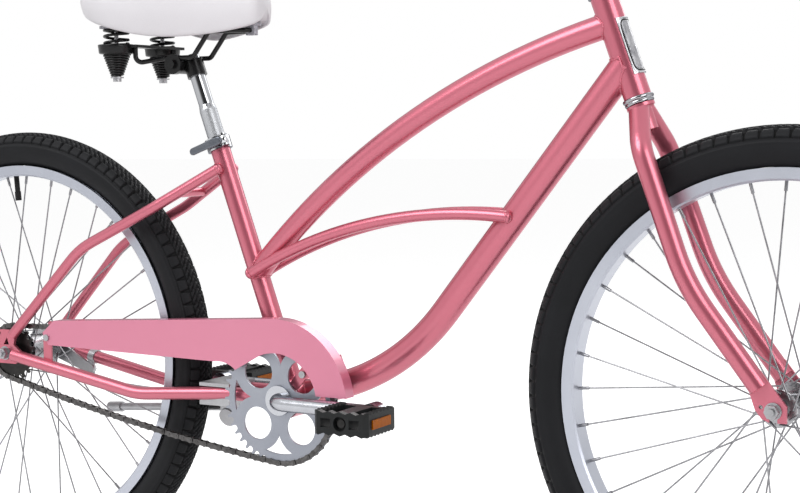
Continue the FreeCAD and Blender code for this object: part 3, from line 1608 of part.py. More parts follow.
def stem():
    """Quill stem with its clamp round the bar, and the bolt down its middle."""
    foot = on_head(STEERER_TOP - size("stem_insert"))
    length = "stem_insert + stem_rise"
    quill = cylinder("stem_quill", "steerer_radius - steerer_wall", length, foot, HEAD_AXIS)
    shoulder = on_head(STEM_TOP - size("stem_arm_radius"))
    arm = cylinder("stem_arm", "stem_arm_radius", "stem_reach", shoulder, HEAD_FRONT)
    clamp = centred_bar("stem_clamp", "stem_clamp_radius", "stem_clamp_half_width", BAR_MIDDLE)
    blank = fuse("stem_blank", quill, arm, clamp)
    bolt_hole = cylinder("stem_bolt_hole", "stem_bolt_radius", length, foot, HEAD_AXIS)
    hole = centred_bar("stem_bar_hole", "bar_radius", "stem_clamp_half_width", BAR_MIDDLE)
    body = cut("stem_body", blank, hole, bolt_hole)
    shank = cylinder("stem_bolt_shank", "stem_bolt_radius", length, foot, HEAD_AXIS)
    head = cylinder(
        "stem_bolt_head", "2 * stem_bolt_radius", "2 * stem_bolt_radius", on_head(STEM_TOP), HEAD_AXIS
    )
    return group("stem", body, fuse("stem_bolt", shank, head))


def bar_points(side):
    """Corners of one half of the handlebar, from the middle out to the grip's end."""
    flat = Vector(0, side * size("bar_flat"), 0)
    shoulder = Vector(size("bar_shoulder_forward"), side * size("bar_shoulder_out"), size("bar_shoulder_rise"))
    corner = Vector(-size("bar_corner_back"), side * size("bar_corner_out"), size("bar_rise"))
    end = Vector(-size("bar_sweep"), side * size("bar_half_width"), size("bar_rise") - size("bar_drop"))
    return [BAR_MIDDLE + point for point in (flat, shoulder, corner, end)]


def handlebar():
    """Wide swept-back handlebar with a grip on each end."""
    points = list(reversed(bar_points(RIGHT))) + bar_points(LEFT)
    wire = bent_wire(points, size("bar_bend"))
    bar, _ = tube("handlebar", wire, "bar_radius", "bar_wall")
    node(bar)
    grips = []
    for side, word in WORDS.items():
        corner, end = bar_points(side)[-2:]
        along = (end - corner).normalize()
        outline = [
            ("0", "bar_radius"),
            ("0", "grip_flange_radius"),
            ("grip_flange_width", "grip_flange_radius"),
            ("grip_flange_width", "grip_radius"),
            ("grip_length + grip_end", "grip_radius"),
            ("grip_length + grip_end", "0"),
            ("grip_length", "0"),
            ("grip_length", "bar_radius"),
        ]
        grips.append(turned(f"grip_{word}", outline, end - along * size("grip_length"), along))
    node(group("grips", *grips))


def steering():
    """Everything that turns with the handlebar."""
    fork()
    node(locknut())
    node(stem())
    handlebar()


# Crank and pedals


def crank_end(side):
    """Middle of the pedal boss on one arm: the right arm points forward, the left one back."""
    corner = size("crank_right_corner") if side == RIGHT else size("crank_left_corner")
    return BRACKET + Vector(-side * size("crank_length"), side * (corner + size("crank_splay")), 0)


def crank():
    """One-piece crank with its bearing cones, the collar that holds the chainring and both pedal bosses."""
    right = BRACKET - Y * size("crank_right_corner")
    left = BRACKET + Y * size("crank_left_corner")
    wire = bent_wire([crank_end(RIGHT), right, left, crank_end(LEFT)], size("crank_bend"))
    pieces = [rod("crank_bar", wire, "crank_radius")]
    for side, word in WORDS.items():
        boss = centred_bar(f"crank_boss_{word}", "crank_boss_radius", "crank_boss_half_width", crank_end(side))
        face = "shell_half_width + cup_flange_width + side_clearance"
        inner = "shell_half_width - cup_depth"
        cone_start = BRACKET + Y * (side * value(inner))
        cone = cylinder(
            f"crank_cone_{word}", "cup_bore_radius - running_clearance", f"{face} - ({inner})",
            cone_start, Y * side,
        )
        ring_height = "chain_line - sprocket_thickness / 2" if side == RIGHT else "crank_locknut_face"
        ring = cylinder(
            f"crank_ring_{word}", "crank_ring_radius", f"{ring_height} - ({face})",
            BRACKET + Y * (side * value(face)), Y * side,
        )
        pieces += [boss, cone, ring]
    collar_start = BRACKET - Y * value("chain_line + sprocket_thickness / 2")
    pieces.append(cylinder("crank_collar", "crank_collar_radius", "crank_collar_width", collar_start, -Y))
    return fuse("crank", *pieces)


def pedal_face(side):
    """Inner face of a pedal, on its spindle's axis."""
    out = size("crank_boss_half_width") + size("spindle_flange_width") + size("side_clearance")
    return crank_end(side) + Y * (side * out)


def spindle(side):
    """Pedal spindle with its flange against the crank's boss."""
    length = "spindle_flange_width + side_clearance + pedal_width - pedal_cap_depth + spindle_end"
    outline = [
        ("0", "0"),
        ("0", "spindle_flange_radius"),
        ("spindle_flange_width", "spindle_flange_radius"),
        ("spindle_flange_width", "spindle_radius"),
        (length, "spindle_radius"),
        (length, "0"),
    ]
    base = crank_end(side) + Y * (side * size("crank_boss_half_width"))
    return turned(f"pedal_spindle_{WORDS[side]}", outline, base, Y * side)


def tooth_strip(start, along, through, up, teeth, length):
    """Row of triangular grips along an upper (up 1) or lower (up -1) edge of the pedal."""
    step = length / teeth
    points = [start]
    for tooth in range(teeth):
        points.append(start + along * (step * (tooth + 0.5)) + Z * (up * size("pedal_tooth")))
        points.append(start + along * (step * (tooth + 1)))
    sunk = start - Z * (up * size("pedal_tooth"))
    points += [sunk + along * length, sunk]
    face = Part.Face(Part.makePolygon(points + [start]))
    return face.extrude(through * size("pedal_wall"))


def pedal_teeth(name, middle, side):
    """Grips along the pedal's front, rear and outer edges, above and below."""
    half_length = size("pedal_length") / 2
    half_width = size("pedal_width") / 2
    strips = []
    for up in (1, -1):
        edge = middle + Z * (up * size("pedal_height") / 2)
        for end in (1, -1):
            corner = edge + Vector(end * half_length, -half_width, 0)
            strips.append(tooth_strip(corner, Y, -X * end, up, count("pedal_teeth"), 2 * half_width))
        corner = edge + Vector(-half_length, side * half_width, 0)
        strips.append(tooth_strip(corner, X, -Y * side, up, count("pedal_end_teeth"), 2 * half_length))
    return shaped(f"{name}_teeth", strips[0].multiFuse(strips[1:]))


def pedal(side):
    """Block pedal: a frame with two windows round its barrel, toothed edges and an open outer end."""
    name = f"pedal_{WORDS[side]}"
    middle = pedal_face(side) + Y * (side * size("pedal_width") / 2)
    outer = middle + Y * (side * size("pedal_width") / 2)
    blank = block(f"{name}_block", "pedal_length", "pedal_width", "pedal_height", middle)
    window = "pedal_length / 2 - pedal_wall - pedal_barrel_radius"
    away = [centred_bar(f"{name}_bore", "spindle_radius + running_clearance", "pedal_width", middle)]
    away.append(centred_bar(f"{name}_cap", "pedal_cap_radius", "pedal_cap_depth", outer))
    for end, word in ((1, "front"), (-1, "rear")):
        shift = X * (end * (size("pedal_barrel_radius") + value(window) / 2))
        away.append(block(
            f"{name}_window_{word}", window, "pedal_width - 2 * pedal_wall", "2 * pedal_height", middle + shift
        ))
        away.append(block(
            f"{name}_slot_{word}", "pedal_slot_length", "2 * pedal_wall", "pedal_slot_height", outer + shift
        ))
        away.append(block(
            f"{name}_corner_{word}", "sqrt(2) * pedal_corner", "sqrt(2) * pedal_corner", "2 * pedal_height",
            outer + X * (end * size("pedal_length") / 2), Rotation(Z, 45),
        ))
    return cut(name, fuse(f"{name}_blank", blank, pedal_teeth(name, middle, side)), *away)


def reflectors(side):
    """Reflector plates on the pedal's front and rear faces."""
    name = f"pedal_reflectors_{WORDS[side]}"
    middle = pedal_face(side) + Y * (side * size("pedal_width") / 2)
    plates = []
    for end, word in ((1, "front"), (-1, "rear")):
        shift = (size("pedal_length") + size("reflector_thickness")) / 2
        plates.append(block(
            f"{name}_{word}", "reflector_thickness", "reflector_width", "reflector_height",
            middle + X * (end * shift),
        ))
    return group(name, *plates)


def cranks():
    """Crank, pedal spindles and pedals."""
    node(crank())
    node(group("pedal_spindles", spindle(RIGHT), spindle(LEFT)))
    for side in WORDS:
        node(pedal(side))
        node(reflectors(side))


# Chain guard

GUARD_FACE = BRACKET - Y * (size("guard_offset") - size("guard_sheet"))
GUARD_INNER = size("guard_offset") - size("guard_flange")


def guard_top(radius):
    """Top line of the guard at a nose radius: where it leaves the nose, and its rear end."""
    leave = (f"-({radius}) * sin(guard_top_slope)", f"({radius}) * cos(guard_top_slope)")
    rear = (
        f"{leave[0]} - guard_top_length * cos(guard_top_slope)",
        f"{leave[1]} - guard_top_length * sin(guard_top_slope)",
    )
    return leave, rear


def nose_tip(radius):
    """Lower end of the guard's nose at a radius."""
    return (f"sqrt(({radius}) ^ 2 - guard_nose_end ^ 2)", "guard_nose_end")


def guard_screw(name, place, face, grip):
    """Screw along Y: its head on a face to the right, its shank through what it holds."""
    seat = Vector(place.x, -face, place.z)
    head = cylinder(f"{name}_head", "guard_screw_head_radius", "guard_screw_head", seat, -Y)
    shank = cylinder(f"{name}_shank", "guard_screw_radius", grip, seat, Y)
    return fuse(name, head, shank), shank


def chain_guard(stays, shell_bar):
    """Sheet guard with an inward flange, the two tabs that carry it and its screws."""
    leave, rear = guard_top("guard_nose_radius")
    opening = (
        "guard_opening_radius * cos(guard_opening_angle)", "guard_opening_radius * sin(guard_opening_angle)"
    )
    sheet_outline = [
        ("-guard_back", "guard_lower_rear"),
        ("-guard_lip_start", "guard_lower_front", "guard_lip_bend", -1),
        ("-guard_lip_back", "guard_lip_height"),
        (*opening, "guard_opening_radius", -1),
        nose_tip("guard_opening_radius"),
        (*nose_tip("guard_nose_radius"), "guard_nose_radius", 1),
        leave,
        rear,
        ("-guard_corner_back", "guard_corner_height"),
    ]
    sheet_plate = plate("chain_guard_sheet", sheet_outline, "guard_sheet", GUARD_FACE)
    under = "guard_nose_radius - guard_sheet"
    low_leave, low_rear = guard_top(under)
    flange_outline = [
        (*nose_tip("guard_nose_radius"), "guard_nose_radius", 1),
        leave,
        rear,
        low_rear,
        (*low_leave, under, -1),
        nose_tip(under),
    ]
    flange = plate("chain_guard_flange", flange_outline, "guard_flange", BRACKET - Y * GUARD_INNER)

    out = slope(size("guard_ear_angle"))
    ear_place = BRACKET + out * size("guard_ear_radius")
    turn = Rotation(Y, -size("guard_ear_angle"))
    reach = "guard_nose_radius - guard_sheet / 2 - guard_ear_radius + guard_ear_half_width"
    ear_middle = ear_place + out * (value(reach) / 2 - size("guard_ear_half_width"))
    ear = block(
        "chain_guard_ear", reach, "guard_sheet", "2 * guard_ear_half_width",
        ear_middle - Y * (GUARD_INNER + size("guard_sheet") / 2), turn,
    )
    rear_place = BRACKET + Vector(-size("guard_rear_screw_back"), 0, size("guard_rear_screw_height"))
    gusset_place = BRACKET + Vector(size("guard_gusset_forward"), 0, size("guard_gusset_height"))
    rear_screw, rear_shank = guard_screw(
        "chain_guard_screw_rear", rear_place, size("guard_offset"), "guard_sheet + guard_tab_thickness"
    )
    ear_screw, ear_shank = guard_screw(
        "chain_guard_screw_front", ear_place, GUARD_INNER + size("guard_sheet"),
        "guard_sheet + guard_tab_thickness",
    )
    gusset_screw, gusset_shank = guard_screw(
        "chain_guard_screw_gusset", gusset_place, GUARD_INNER, "guard_tab_thickness"
    )
    node(cut(
        "chain_guard", fuse("chain_guard_blank", sheet_plate, flange, ear), rear_shank, ear_shank,
    ))

    rear_tab = block(
        "chain_guard_tab_rear_blank", "guard_tab_width", "guard_tab_thickness",
        "guard_tab_foot + guard_tab_width",
        Vector(
            rear_place.x,
            size("guard_sheet") + size("guard_tab_thickness") / 2 - size("guard_offset"),
            rear_place.z - size("guard_tab_foot") / 2,
        ),
    )
    rear_tab = cut("chain_guard_tab_rear", rear_tab, stays["chain", RIGHT], rear_shank)
    front = size("guard_tab_thickness") / 2 - GUARD_INNER
    arms = []
    for name, start, end in (
        ("chain_guard_tab_foot", BRACKET, gusset_place), ("chain_guard_tab_arm", gusset_place, ear_place)
    ):
        along = (end - start).normalize()
        middle = (start + end) * 0.5 + Y * front
        length = (end - start).Length + size("guard_tab_width")
        arm = block(name, f"{length}", "guard_tab_thickness", "guard_tab_width", middle, Rotation(X, along))
        arms.append(arm)
    front_tab = cut(
        "chain_guard_tab_front", fuse("chain_guard_tab_front_blank", *arms), shell_bar, ear_shank, gusset_shank
    )
    node(group("chain_guard_tabs", rear_tab, front_tab))
    node(group("chain_guard_screws", rear_screw, ear_screw, gusset_screw))


# Coaster brake arm

ARM_INNER = size("rear_spacing") / 2 - size("rear_left_cone_length") - size("brake_arm_thickness")
ARM_OUTER = ARM_INNER + size("brake_arm_thickness")
STRAP_PLACE = REAR_AXLE + Vector(size("brake_arm_forward"), 0, -size("brake_arm_drop"))


def brake(stays):
    """Brake arm with the hub's dust plate, and the strap that ties it to the left chainstay."""
    plate_start = REAR_AXLE + Y * (ARM_INNER - size("dust_plate_width"))
    dust = cylinder("brake_arm_dust_plate", "dust_plate_radius", "dust_plate_width", plate_start, Y)
    hub_end = cylinder(
        "brake_arm_hub", "brake_arm_hub_radius", "brake_arm_thickness", REAR_AXLE + Y * ARM_INNER, Y
    )
    strap_end = cylinder(
        "brake_arm_end", "brake_arm_end_radius", "brake_arm_thickness", STRAP_PLACE + Y * ARM_INNER, Y
    )
    along = (STRAP_PLACE - REAR_AXLE).normalize()
    across = Y.cross(along) * -1
    web = Part.makePolygon([
        REAR_AXLE + across * size("brake_arm_hub_radius"),
        REAR_AXLE - across * size("brake_arm_hub_radius"),
        STRAP_PLACE - across * size("brake_arm_end_radius"),
        STRAP_PLACE + across * size("brake_arm_end_radius"),
        REAR_AXLE + across * size("brake_arm_hub_radius"),
    ])
    web_solid = Part.Face(web).extrude(Y * size("brake_arm_thickness"))
    web_solid.translate(Y * ARM_INNER)
    web_piece = shaped("brake_arm_web", web_solid)
    bore = centred_bar("brake_arm_bore", "axle_radius", "rear_spacing / 2", REAR_AXLE)
    bolt_bar = cylinder(
        "brake_bolt_bar", "strap_bolt_radius", "brake_arm_thickness + strap_tab_thickness",
        STRAP_PLACE + Y * ARM_INNER, Y,
    )
    arm = cut("brake_arm_plate", fuse("brake_arm_blank", dust, hub_end, strap_end, web_piece), bore, bolt_bar)

    stay = chainstay_wire(LEFT)
    start, end = [vertex.Point for vertex in stay.OrderedVertexes[:2]]
    share = (STRAP_PLACE.x - start.x) / (end.x - start.x)
    place = start + (end - start) * share
    stay_along = (end - start).normalize()
    band = cylinder(
        "brake_strap_band", "chainstay_radius + strap_wall", "strap_width",
        place - stay_along * (size("strap_width") / 2), stay_along,
    )
    low = STRAP_PLACE.z - size("brake_arm_end_radius")
    tab = block(
        "brake_strap_tab", "strap_width", "strap_tab_thickness", f"{place.z - low}",
        Vector(STRAP_PLACE.x, ARM_OUTER + size("strap_tab_thickness") / 2, (place.z + low) / 2),
    )
    strap = cut("brake_strap_clip", fuse("brake_strap_blank", band, tab), stays["chain", LEFT], bolt_bar)
    head = hexagon(
        "brake_bolt_head", "strap_bolt_head_radius", "strap_bolt_head",
        STRAP_PLACE + Y * (ARM_OUTER + size("strap_tab_thickness")), Y,
    )
    return group("brake_arm", arm, strap, fuse("brake_bolt", bolt_bar, head))


# Kickstand

STAND_TILT = math.radians(size("kickstand_pivot_tilt"))
STAND_AXIS = Vector(0, math.cos(STAND_TILT), math.sin(STAND_TILT))
STAND_PIVOT = BRACKET + Vector(
    -size("kickstand_pivot_back"), size("kickstand_pivot_offset"), -size("kickstand_pivot_drop")
)


def kickstand(stays):
    """Clamp on both chainstays, and the leg on its tilted pin, folded back."""
    middle = BRACKET - X * size("kickstand_back")
    stay = size("chainstay_radius")
    lower = block(
        "kickstand_lower", "kickstand_clamp_length", "2 * kickstand_clamp_half_width",
        "kickstand_clamp_low - kickstand_clamp_high",
        middle - Z * ((size("kickstand_clamp_low") + size("kickstand_clamp_high")) / 2),
    )
    upper = block(
        "kickstand_upper", "kickstand_clamp_length", "2 * kickstand_clamp_half_width",
        "kickstand_plate_thickness",
        middle + Z * (stay - size("side_clearance") + size("kickstand_plate_thickness") / 2),
    )
    bolt = cylinder(
        "kickstand_bolt", "kickstand_bolt_radius",
        "kickstand_clamp_low + chainstay_radius + kickstand_plate_thickness",
        middle - Z * size("kickstand_clamp_low"),
    )
    boss = cylinder(
        "kickstand_boss", "kickstand_boss_radius", "kickstand_boss_back + kickstand_boss_front",
        STAND_PIVOT - STAND_AXIS * size("kickstand_boss_back"), STAND_AXIS,
    )
    web = block(
        "kickstand_web", "1.6 * kickstand_boss_radius", "kickstand_boss_back",
        "kickstand_pivot_drop - kickstand_clamp_high",
        Vector(
            STAND_PIVOT.x,
            STAND_PIVOT.y - size("kickstand_boss_back") / 2,
            STAND_PIVOT.z + (size("kickstand_pivot_drop") - size("kickstand_clamp_high")) / 2,
        ),
    )
    depth = "kickstand_pin_depth"
    bore_start = STAND_PIVOT + STAND_AXIS * value(f"kickstand_boss_front - {depth} - side_clearance")
    bore = cylinder(
        "kickstand_bore", "kickstand_pin_radius + running_clearance", f"{depth} + side_clearance",
        bore_start, STAND_AXIS,
    )
    blank = fuse("kickstand_blank", lower, upper, bolt, boss, web)
    node(cut("kickstand_bracket", blank, stays["chain", RIGHT], stays["chain", LEFT], bore))

    eye_start = STAND_PIVOT + STAND_AXIS * (size("kickstand_boss_front") + size("side_clearance"))
    eye = cylinder("kickstand_eye", "kickstand_eye_radius", "kickstand_eye_length", eye_start, STAND_AXIS)
    pin_bar = cylinder(
        "kickstand_pin", "kickstand_pin_radius", f"{depth} + side_clearance", eye_start, -STAND_AXIS
    )
    eye_middle = eye_start + STAND_AXIS * (size("kickstand_eye_length") / 2)
    foot = Vector(
        eye_middle.x - size("kickstand_leg_back"),
        size("kickstand_foot_offset"),
        eye_middle.z - size("kickstand_foot_drop"),
    )
    along = (foot - eye_middle).normalize()
    foot_start = foot - along * size("kickstand_foot_length")
    leg_length = (foot_start - eye_middle).Length
    leg = cylinder("kickstand_bar", "kickstand_leg_radius", f"{leg_length}", eye_middle, along)
    shank = fuse("kickstand_shank", eye, pin_bar, leg)
    foot_cap = cylinder("kickstand_foot", "kickstand_foot_radius", "kickstand_foot_length", foot_start, along)
    node(group("kickstand_leg", shank, foot_cap))


# Seat post and saddle

CLAMP = on_seat(SEAT_TOP + size("saddle_clamp_height"))
GRIP = CLAMP - Vector(size("saddle_clamp_setback"), 0, size("saddle_clamp_drop"))
PAN_LOW = CLAMP + Z * size("saddle_pan_height")
CARRIER_LOW = CLAMP + Vector(-size("spring_back"), 0, size("carrier_lift"))
# Half of the pan's outline from the tail to the nose: place before the clamp, half width
PAN_HALF = ((-112, 72), (-98, 80), (-75, 84), (-20, 68), (40, 37), (85, 22), (112, 12))
# Cushion sections: place before the clamp, half widths of the lower edge and of the widest line, then
# the heights over the clamp of the lower edge, of the shoulder and of the crown
CUSHION = (
    (-141, 58, 64, 79, 91, 98),
    (-134, 74, 81, 71, 94, 105),
    (-113, 88, 96, 58, 96, 112),
    (-75, 97, 105, 45, 96, 116),
    (-20, 77, 85, 30, 88, 112),
    (40, 44, 50, 32, 82, 104),
    (92, 26, 30, 45, 80, 99),
    (122, 18, 22, 55, 78, 93),
    (129, 10, 12, 62, 76, 87),
)


def seatpost():
    """Round post, narrower above, that slides in the seat tube."""
    fit = "seat_tube_radius - seat_tube_wall - running_clearance"
    neck = "seatpost_length - seatpost_swage_length"
    outline = [
        ("0", "0"),
        ("0", fit),
        (f"{neck} - seatpost_taper", fit),
        (neck, "seatpost_neck_radius"),
        ("seatpost_length", "seatpost_neck_radius"),
        ("seatpost_length", "0"),
    ]
    base = on_seat(SEAT_TOP + size("seatpost_out") - size("seatpost_length"))
    return turned("seatpost", outline, base, SEAT_AXIS)


def rail_half(side):
    """One rail: up into the carrier at its tail, level through the clamp, then up to the pan and the nose."""
    tail = CARRIER_LOW + Vector(size("rail_tail_forward"), side * size("rail_tail_offset"), 0)
    lift = Z * size("rail_lift")
    offset = Y * (side * size("rail_offset"))
    return [
        tail + Z * (size("carrier_thickness") / 2),
        Vector(tail.x, tail.y, CLAMP.z - size("rail_tail_drop")),
        CLAMP - X * size("rail_back") + lift + offset,
        CLAMP + X * size("rail_front") + lift + offset,
        CLAMP + X * size("rail_rise_forward") + Z * size("rail_nose_lift") + offset,
        CLAMP + Vector(size("rail_nose_forward"), side * size("rail_nose_offset"), size("rail_nose_lift")),
    ]


def saddle_clamp(rails, neck, bolt_bar):
    """Clamp on the post's neck with a disc behind it on each side that grips a rail."""
    middle = centred_bar("saddle_clamp_middle", "saddle_clamp_radius", "saddle_clamp_half_width", GRIP)
    sleeve = cylinder(
        "saddle_clamp_sleeve", "seatpost_neck_radius + saddle_sleeve_wall", "saddle_sleeve_length",
        CLAMP - SEAT_AXIS * size("saddle_sleeve_length"), SEAT_AXIS,
    )
    discs = []
    for side, word in WORDS.items():
        start = GRIP + Y * (side * size("saddle_clamp_half_width"))
        discs.append(cylinder(
            f"saddle_clamp_disc_{word}", "saddle_disc_radius", "saddle_disc_width", start, Y * side
        ))
    blank = fuse("saddle_clamp_blank", middle, sleeve, *discs)
    return cut("saddle_clamp_body", blank, neck, rails, bolt_bar)


def saddle_bolt(bolt_bar):
    """Bolt across the saddle clamp with a hexagon at each end."""
    heads = []
    for side, word in WORDS.items():
        start = GRIP + Y * (side * value("saddle_clamp_half_width + saddle_disc_width"))
        heads.append(hexagon(
            f"saddle_bolt_head_{word}", "saddle_bolt_head_radius", "saddle_bolt_head", start, Y * side
        ))
    return fuse("saddle_bolt", bolt_bar, *heads)


def spring_axis(side):
    """Foot of a saddle spring's axis, on the carrier's underside."""
    return CARRIER_LOW + Y * (side * size("spring_offset"))


def carrier(rails):
    """Plate that ties both rails' tails and carries the springs."""
    pieces = [block(
        "saddle_carrier_strap", "carrier_strap_length", "2 * carrier_strap_half_width", "carrier_thickness",
        CARRIER_LOW + Vector(
            size("carrier_strap_start") + size("carrier_strap_length") / 2, 0, size("carrier_thickness") / 2
        ),
    )]
    holes = []
    for side, word in WORDS.items():
        foot = spring_axis(side)
        pieces.append(cylinder(f"saddle_carrier_cup_{word}", "carrier_radius", "carrier_thickness", foot))
        holes.append(cylinder(
            f"saddle_carrier_hole_{word}", "spring_bolt_radius + spring_bolt_room", "carrier_thickness", foot
        ))
    return cut("saddle_carrier", fuse("saddle_carrier_blank", *pieces), *holes, rails)


def biarc(start, start_along, end, end_along):
    """Two arcs that leave one point along a direction and meet another point along its own."""
    gap = end - start
    both = start_along + end_along
    bend = 2 * (1 - start_along.dot(end_along))
    run = gap.dot(both)
    reach = (math.sqrt(run ** 2 + bend * gap.dot(gap)) - run) / bend
    middle = (start + end) * 0.5 + (start_along - end_along) * (reach / 2)
    first = arc_along(start, start_along, middle)
    second = arc_along(end, end_along * -1, middle)
    return [first, Part.Arc(second.EndPoint, second.value(
        (second.FirstParameter + second.LastParameter) / 2), second.StartPoint)]


def arc_along(start, along, end):
    """Arc that leaves start along a direction and ends at end."""
    chord = end - start
    ahead = chord * (1 / chord.Length)
    aside = along - ahead * along.dot(ahead)
    angle = math.atan2(aside.Length, along.dot(ahead))
    crest = (start + end) * 0.5 + aside.normalize() * (chord.Length / 2 * math.tan(angle / 2))
    return Part.Arc(start, crest, end)


def coil_wire(foot, radii, heights, turns, end_run):
    """Coil about Z with a straight run at both ends; its radius and height change evenly."""
    steps = 4 * turns
    growth = (radii[1] - radii[0]) / turns
    climb = (heights[1] - heights[0]) / turns
    places = []
    for step in range(steps + 1):
        turn = step / 4
        angle = 2 * math.pi * turn
        radius = radii[0] + growth * turn
        out = Vector(math.cos(angle), math.sin(angle), 0)
        round_way = Vector(-math.sin(angle), math.cos(angle), 0)
        place = foot + out * radius + Z * (heights[0] + climb * turn)
        along = out * growth + round_way * (2 * math.pi * radius) + Z * climb
        places.append((place, along.normalize()))
    first, first_along = places[0]
    last, last_along = places[-1]
    curves = [Part.LineSegment(first - first_along * end_run, first)]
    for (start, start_along), (end, end_along) in zip(places, places[1:]):
        curves += biarc(start, start_along, end, end_along)
    curves.append(Part.LineSegment(last, last + last_along * end_run))
    return Part.Wire([curve.toShape() for curve in curves])


def least_gap(wire, turns, diameter):
    """Least room between neighbouring turns of a coil, measured on points."""
    per_turn = 36
    points = wire.discretize(Number=per_turn * turns)
    nearest = min(
        (points[i] - points[j]).Length
        for i in range(len(points)) for j in range(i + per_turn // 2, len(points))
    )
    return nearest - diameter


def springs():
    """Open coil over the carrier and close-wound cone under it, on each side."""
    coils = []
    wire_radius = size("spring_wire_radius")
    cone_radius = size("cone_wire_radius")
    turns = count("spring_turns")
    cone_turns = count("cone_turns")
    room = size("saddle_pan_height") - size("carrier_lift") - size("carrier_thickness")
    low = size("carrier_thickness") + wire_radius
    rise = room - 2 * wire_radius - size("side_clearance")
    tip = 2 * wire_radius * rise / (2 * math.pi * size("spring_radius") * turns)
    cone_tip = 2 * cone_radius * size("cone_height") / (2 * math.pi * size("cone_bottom_radius") * cone_turns)
    for side, word in WORDS.items():
        foot = spring_axis(side)
        radius = size("spring_radius")
        heights = (low + tip, low + rise - tip)
        wire = coil_wire(foot, (radius, radius), heights, turns, 2 * wire_radius)
        print("coil", word, "least gap", round(least_gap(wire, turns, 2 * wire_radius), 2))
        coils.append(rod(f"saddle_coil_{word}", wire, "spring_wire_radius"))
        heights = (-cone_radius - cone_tip, cone_tip + cone_radius - size("cone_height"))
        radii = (size("cone_top_radius"), size("cone_bottom_radius"))
        wire = coil_wire(foot, radii, heights, cone_turns, 2 * cone_radius)
        print("cone", word, "least gap", round(least_gap(wire, cone_turns, 2 * cone_radius), 2))
        coils.append(rod(f"saddle_cone_{word}", wire, "cone_wire_radius"))
    return group("saddle_springs", *coils)


def spring_bolts():
    """Bolt through each spring from the pan down to its washer and nut."""
    bolts = []
    reach = "saddle_pan_height - carrier_lift"
    cone = f"{reach} + cone_height + side_clearance"
    outline = [
        ("0", "0"),
        ("0", "spring_bolt_radius"),
        (cone, "spring_bolt_radius"),
        (cone, "spring_washer_radius"),
        (f"{cone} + spring_washer_height", "spring_washer_radius"),
        (f"{cone} + spring_washer_height", "spring_nut_radius"),
        (f"{cone} + spring_washer_height + spring_nut_height", "spring_nut_radius"),
        (f"{cone} + spring_washer_height + spring_nut_height", "0"),
    ]
    for side, word in WORDS.items():
        top = spring_axis(side) + Z * value(reach)
        bolts.append(turned(f"spring_bolt_{word}", outline, top, -Z))
    return group("spring_bolts", *bolts)


def pan_prism(name, height, base):
    """Upright prism with the pan's outline."""
    right = [Vector(x, -half, 0) for x, half in PAN_HALF]
    left = [Vector(x, half, 0) for x, half in reversed(PAN_HALF)]
    points = [base + point for point in right + left]
    face = Part.Face(Part.makePolygon(points + points[:1]))
    return shaped(name, face.extrude(Z * height))


def saddle_pan():
    """Stiff pan under the cushion with the lug that holds the rails' nose."""
    base = Vector(CLAMP.x, 0, PAN_LOW.z)
    plate_piece = pan_prism("saddle_pan_plate", size("saddle_pan_thickness"), base)
    nose = CLAMP + Vector(size("rail_nose_forward"), 0, size("rail_nose_lift"))
    top = PAN_LOW.z - nose.z
    half = size("saddle_lug_length") / 2
    lug = block(
        "saddle_pan_lug", "saddle_lug_length", "2 * saddle_lug_half_width", f"{top + half}",
        nose + Z * ((top - half) / 2),
    )
    bore = centred_bar("saddle_pan_bore", "rail_radius + running_clearance", "saddle_lug_half_width", nose)
    return cut("saddle_pan", fuse("saddle_pan_blank", plate_piece, lug), bore)


def cushion_section(section):
    """Closed outline across the cushion: flat below, drawn in at the sides, crowned above."""
    x, edge, widest, low, shoulder, crown = section
    base = CLAMP + X * x
    side_top = (edge + widest) / 2
    bulge = low + (shoulder - low) * 0.6
    right_low = base + Vector(0, -edge, low)
    left_low = base + Vector(0, edge, low)
    left_top = base + Vector(0, side_top, shoulder)
    right_top = base + Vector(0, -side_top, shoulder)
    edges = [
        Part.LineSegment(right_low, left_low),
        Part.Arc(left_low, base + Vector(0, widest, bulge), left_top),
        Part.Arc(left_top, base + Vector(0, 0, crown), right_top),
        Part.Arc(right_top, base + Vector(0, -widest, bulge), right_low),
    ]
    return Part.Wire([edge.toShape() for edge in edges])


def saddle_cushion():
    """Padded cushion, hollow below for the pan."""
    whole = shaped("saddle_cushion_whole", Part.makeLoft([cushion_section(row) for row in CUSHION], True))
    height = size("saddle_pan_height") + size("saddle_pan_thickness")
    cavity = pan_prism("saddle_cushion_cavity", height, Vector(CLAMP.x, 0, CLAMP.z))
    return cut("saddle_cushion", whole, cavity)


def seat():
    """Post, clamp, rails, springs and saddle."""
    wire = bent_wire(rail_half(RIGHT) + rail_half(LEFT)[::-1], size("rail_bend"))
    rails = node(rod("saddle_rails", wire, "rail_radius"))
    bolt_bar = centred_bar(
        "saddle_bolt_bar", "saddle_bolt_radius", "saddle_clamp_half_width + saddle_disc_width", GRIP
    )
    post = node(seatpost())
    node(group("saddle_clamp", saddle_clamp(rails, post, bolt_bar), saddle_bolt(bolt_bar)))
    node(carrier(rails))
    node(springs())
    node(spring_bolts())
    node(saddle_pan())
    node(saddle_cushion())


def build():
    """Makes every sub-part."""
    wheels()
    chain_drive()
    stays, shell_bar = frame()
    node(bottom_bracket_cups())
    node(headset_cups())
    node(head_badge())
    node(seat_collar())
    node(seat_lever())
    steering()
    cranks()
    chain_guard(stays, shell_bar)
    node(brake(stays))
    kickstand(stays)
    seat()


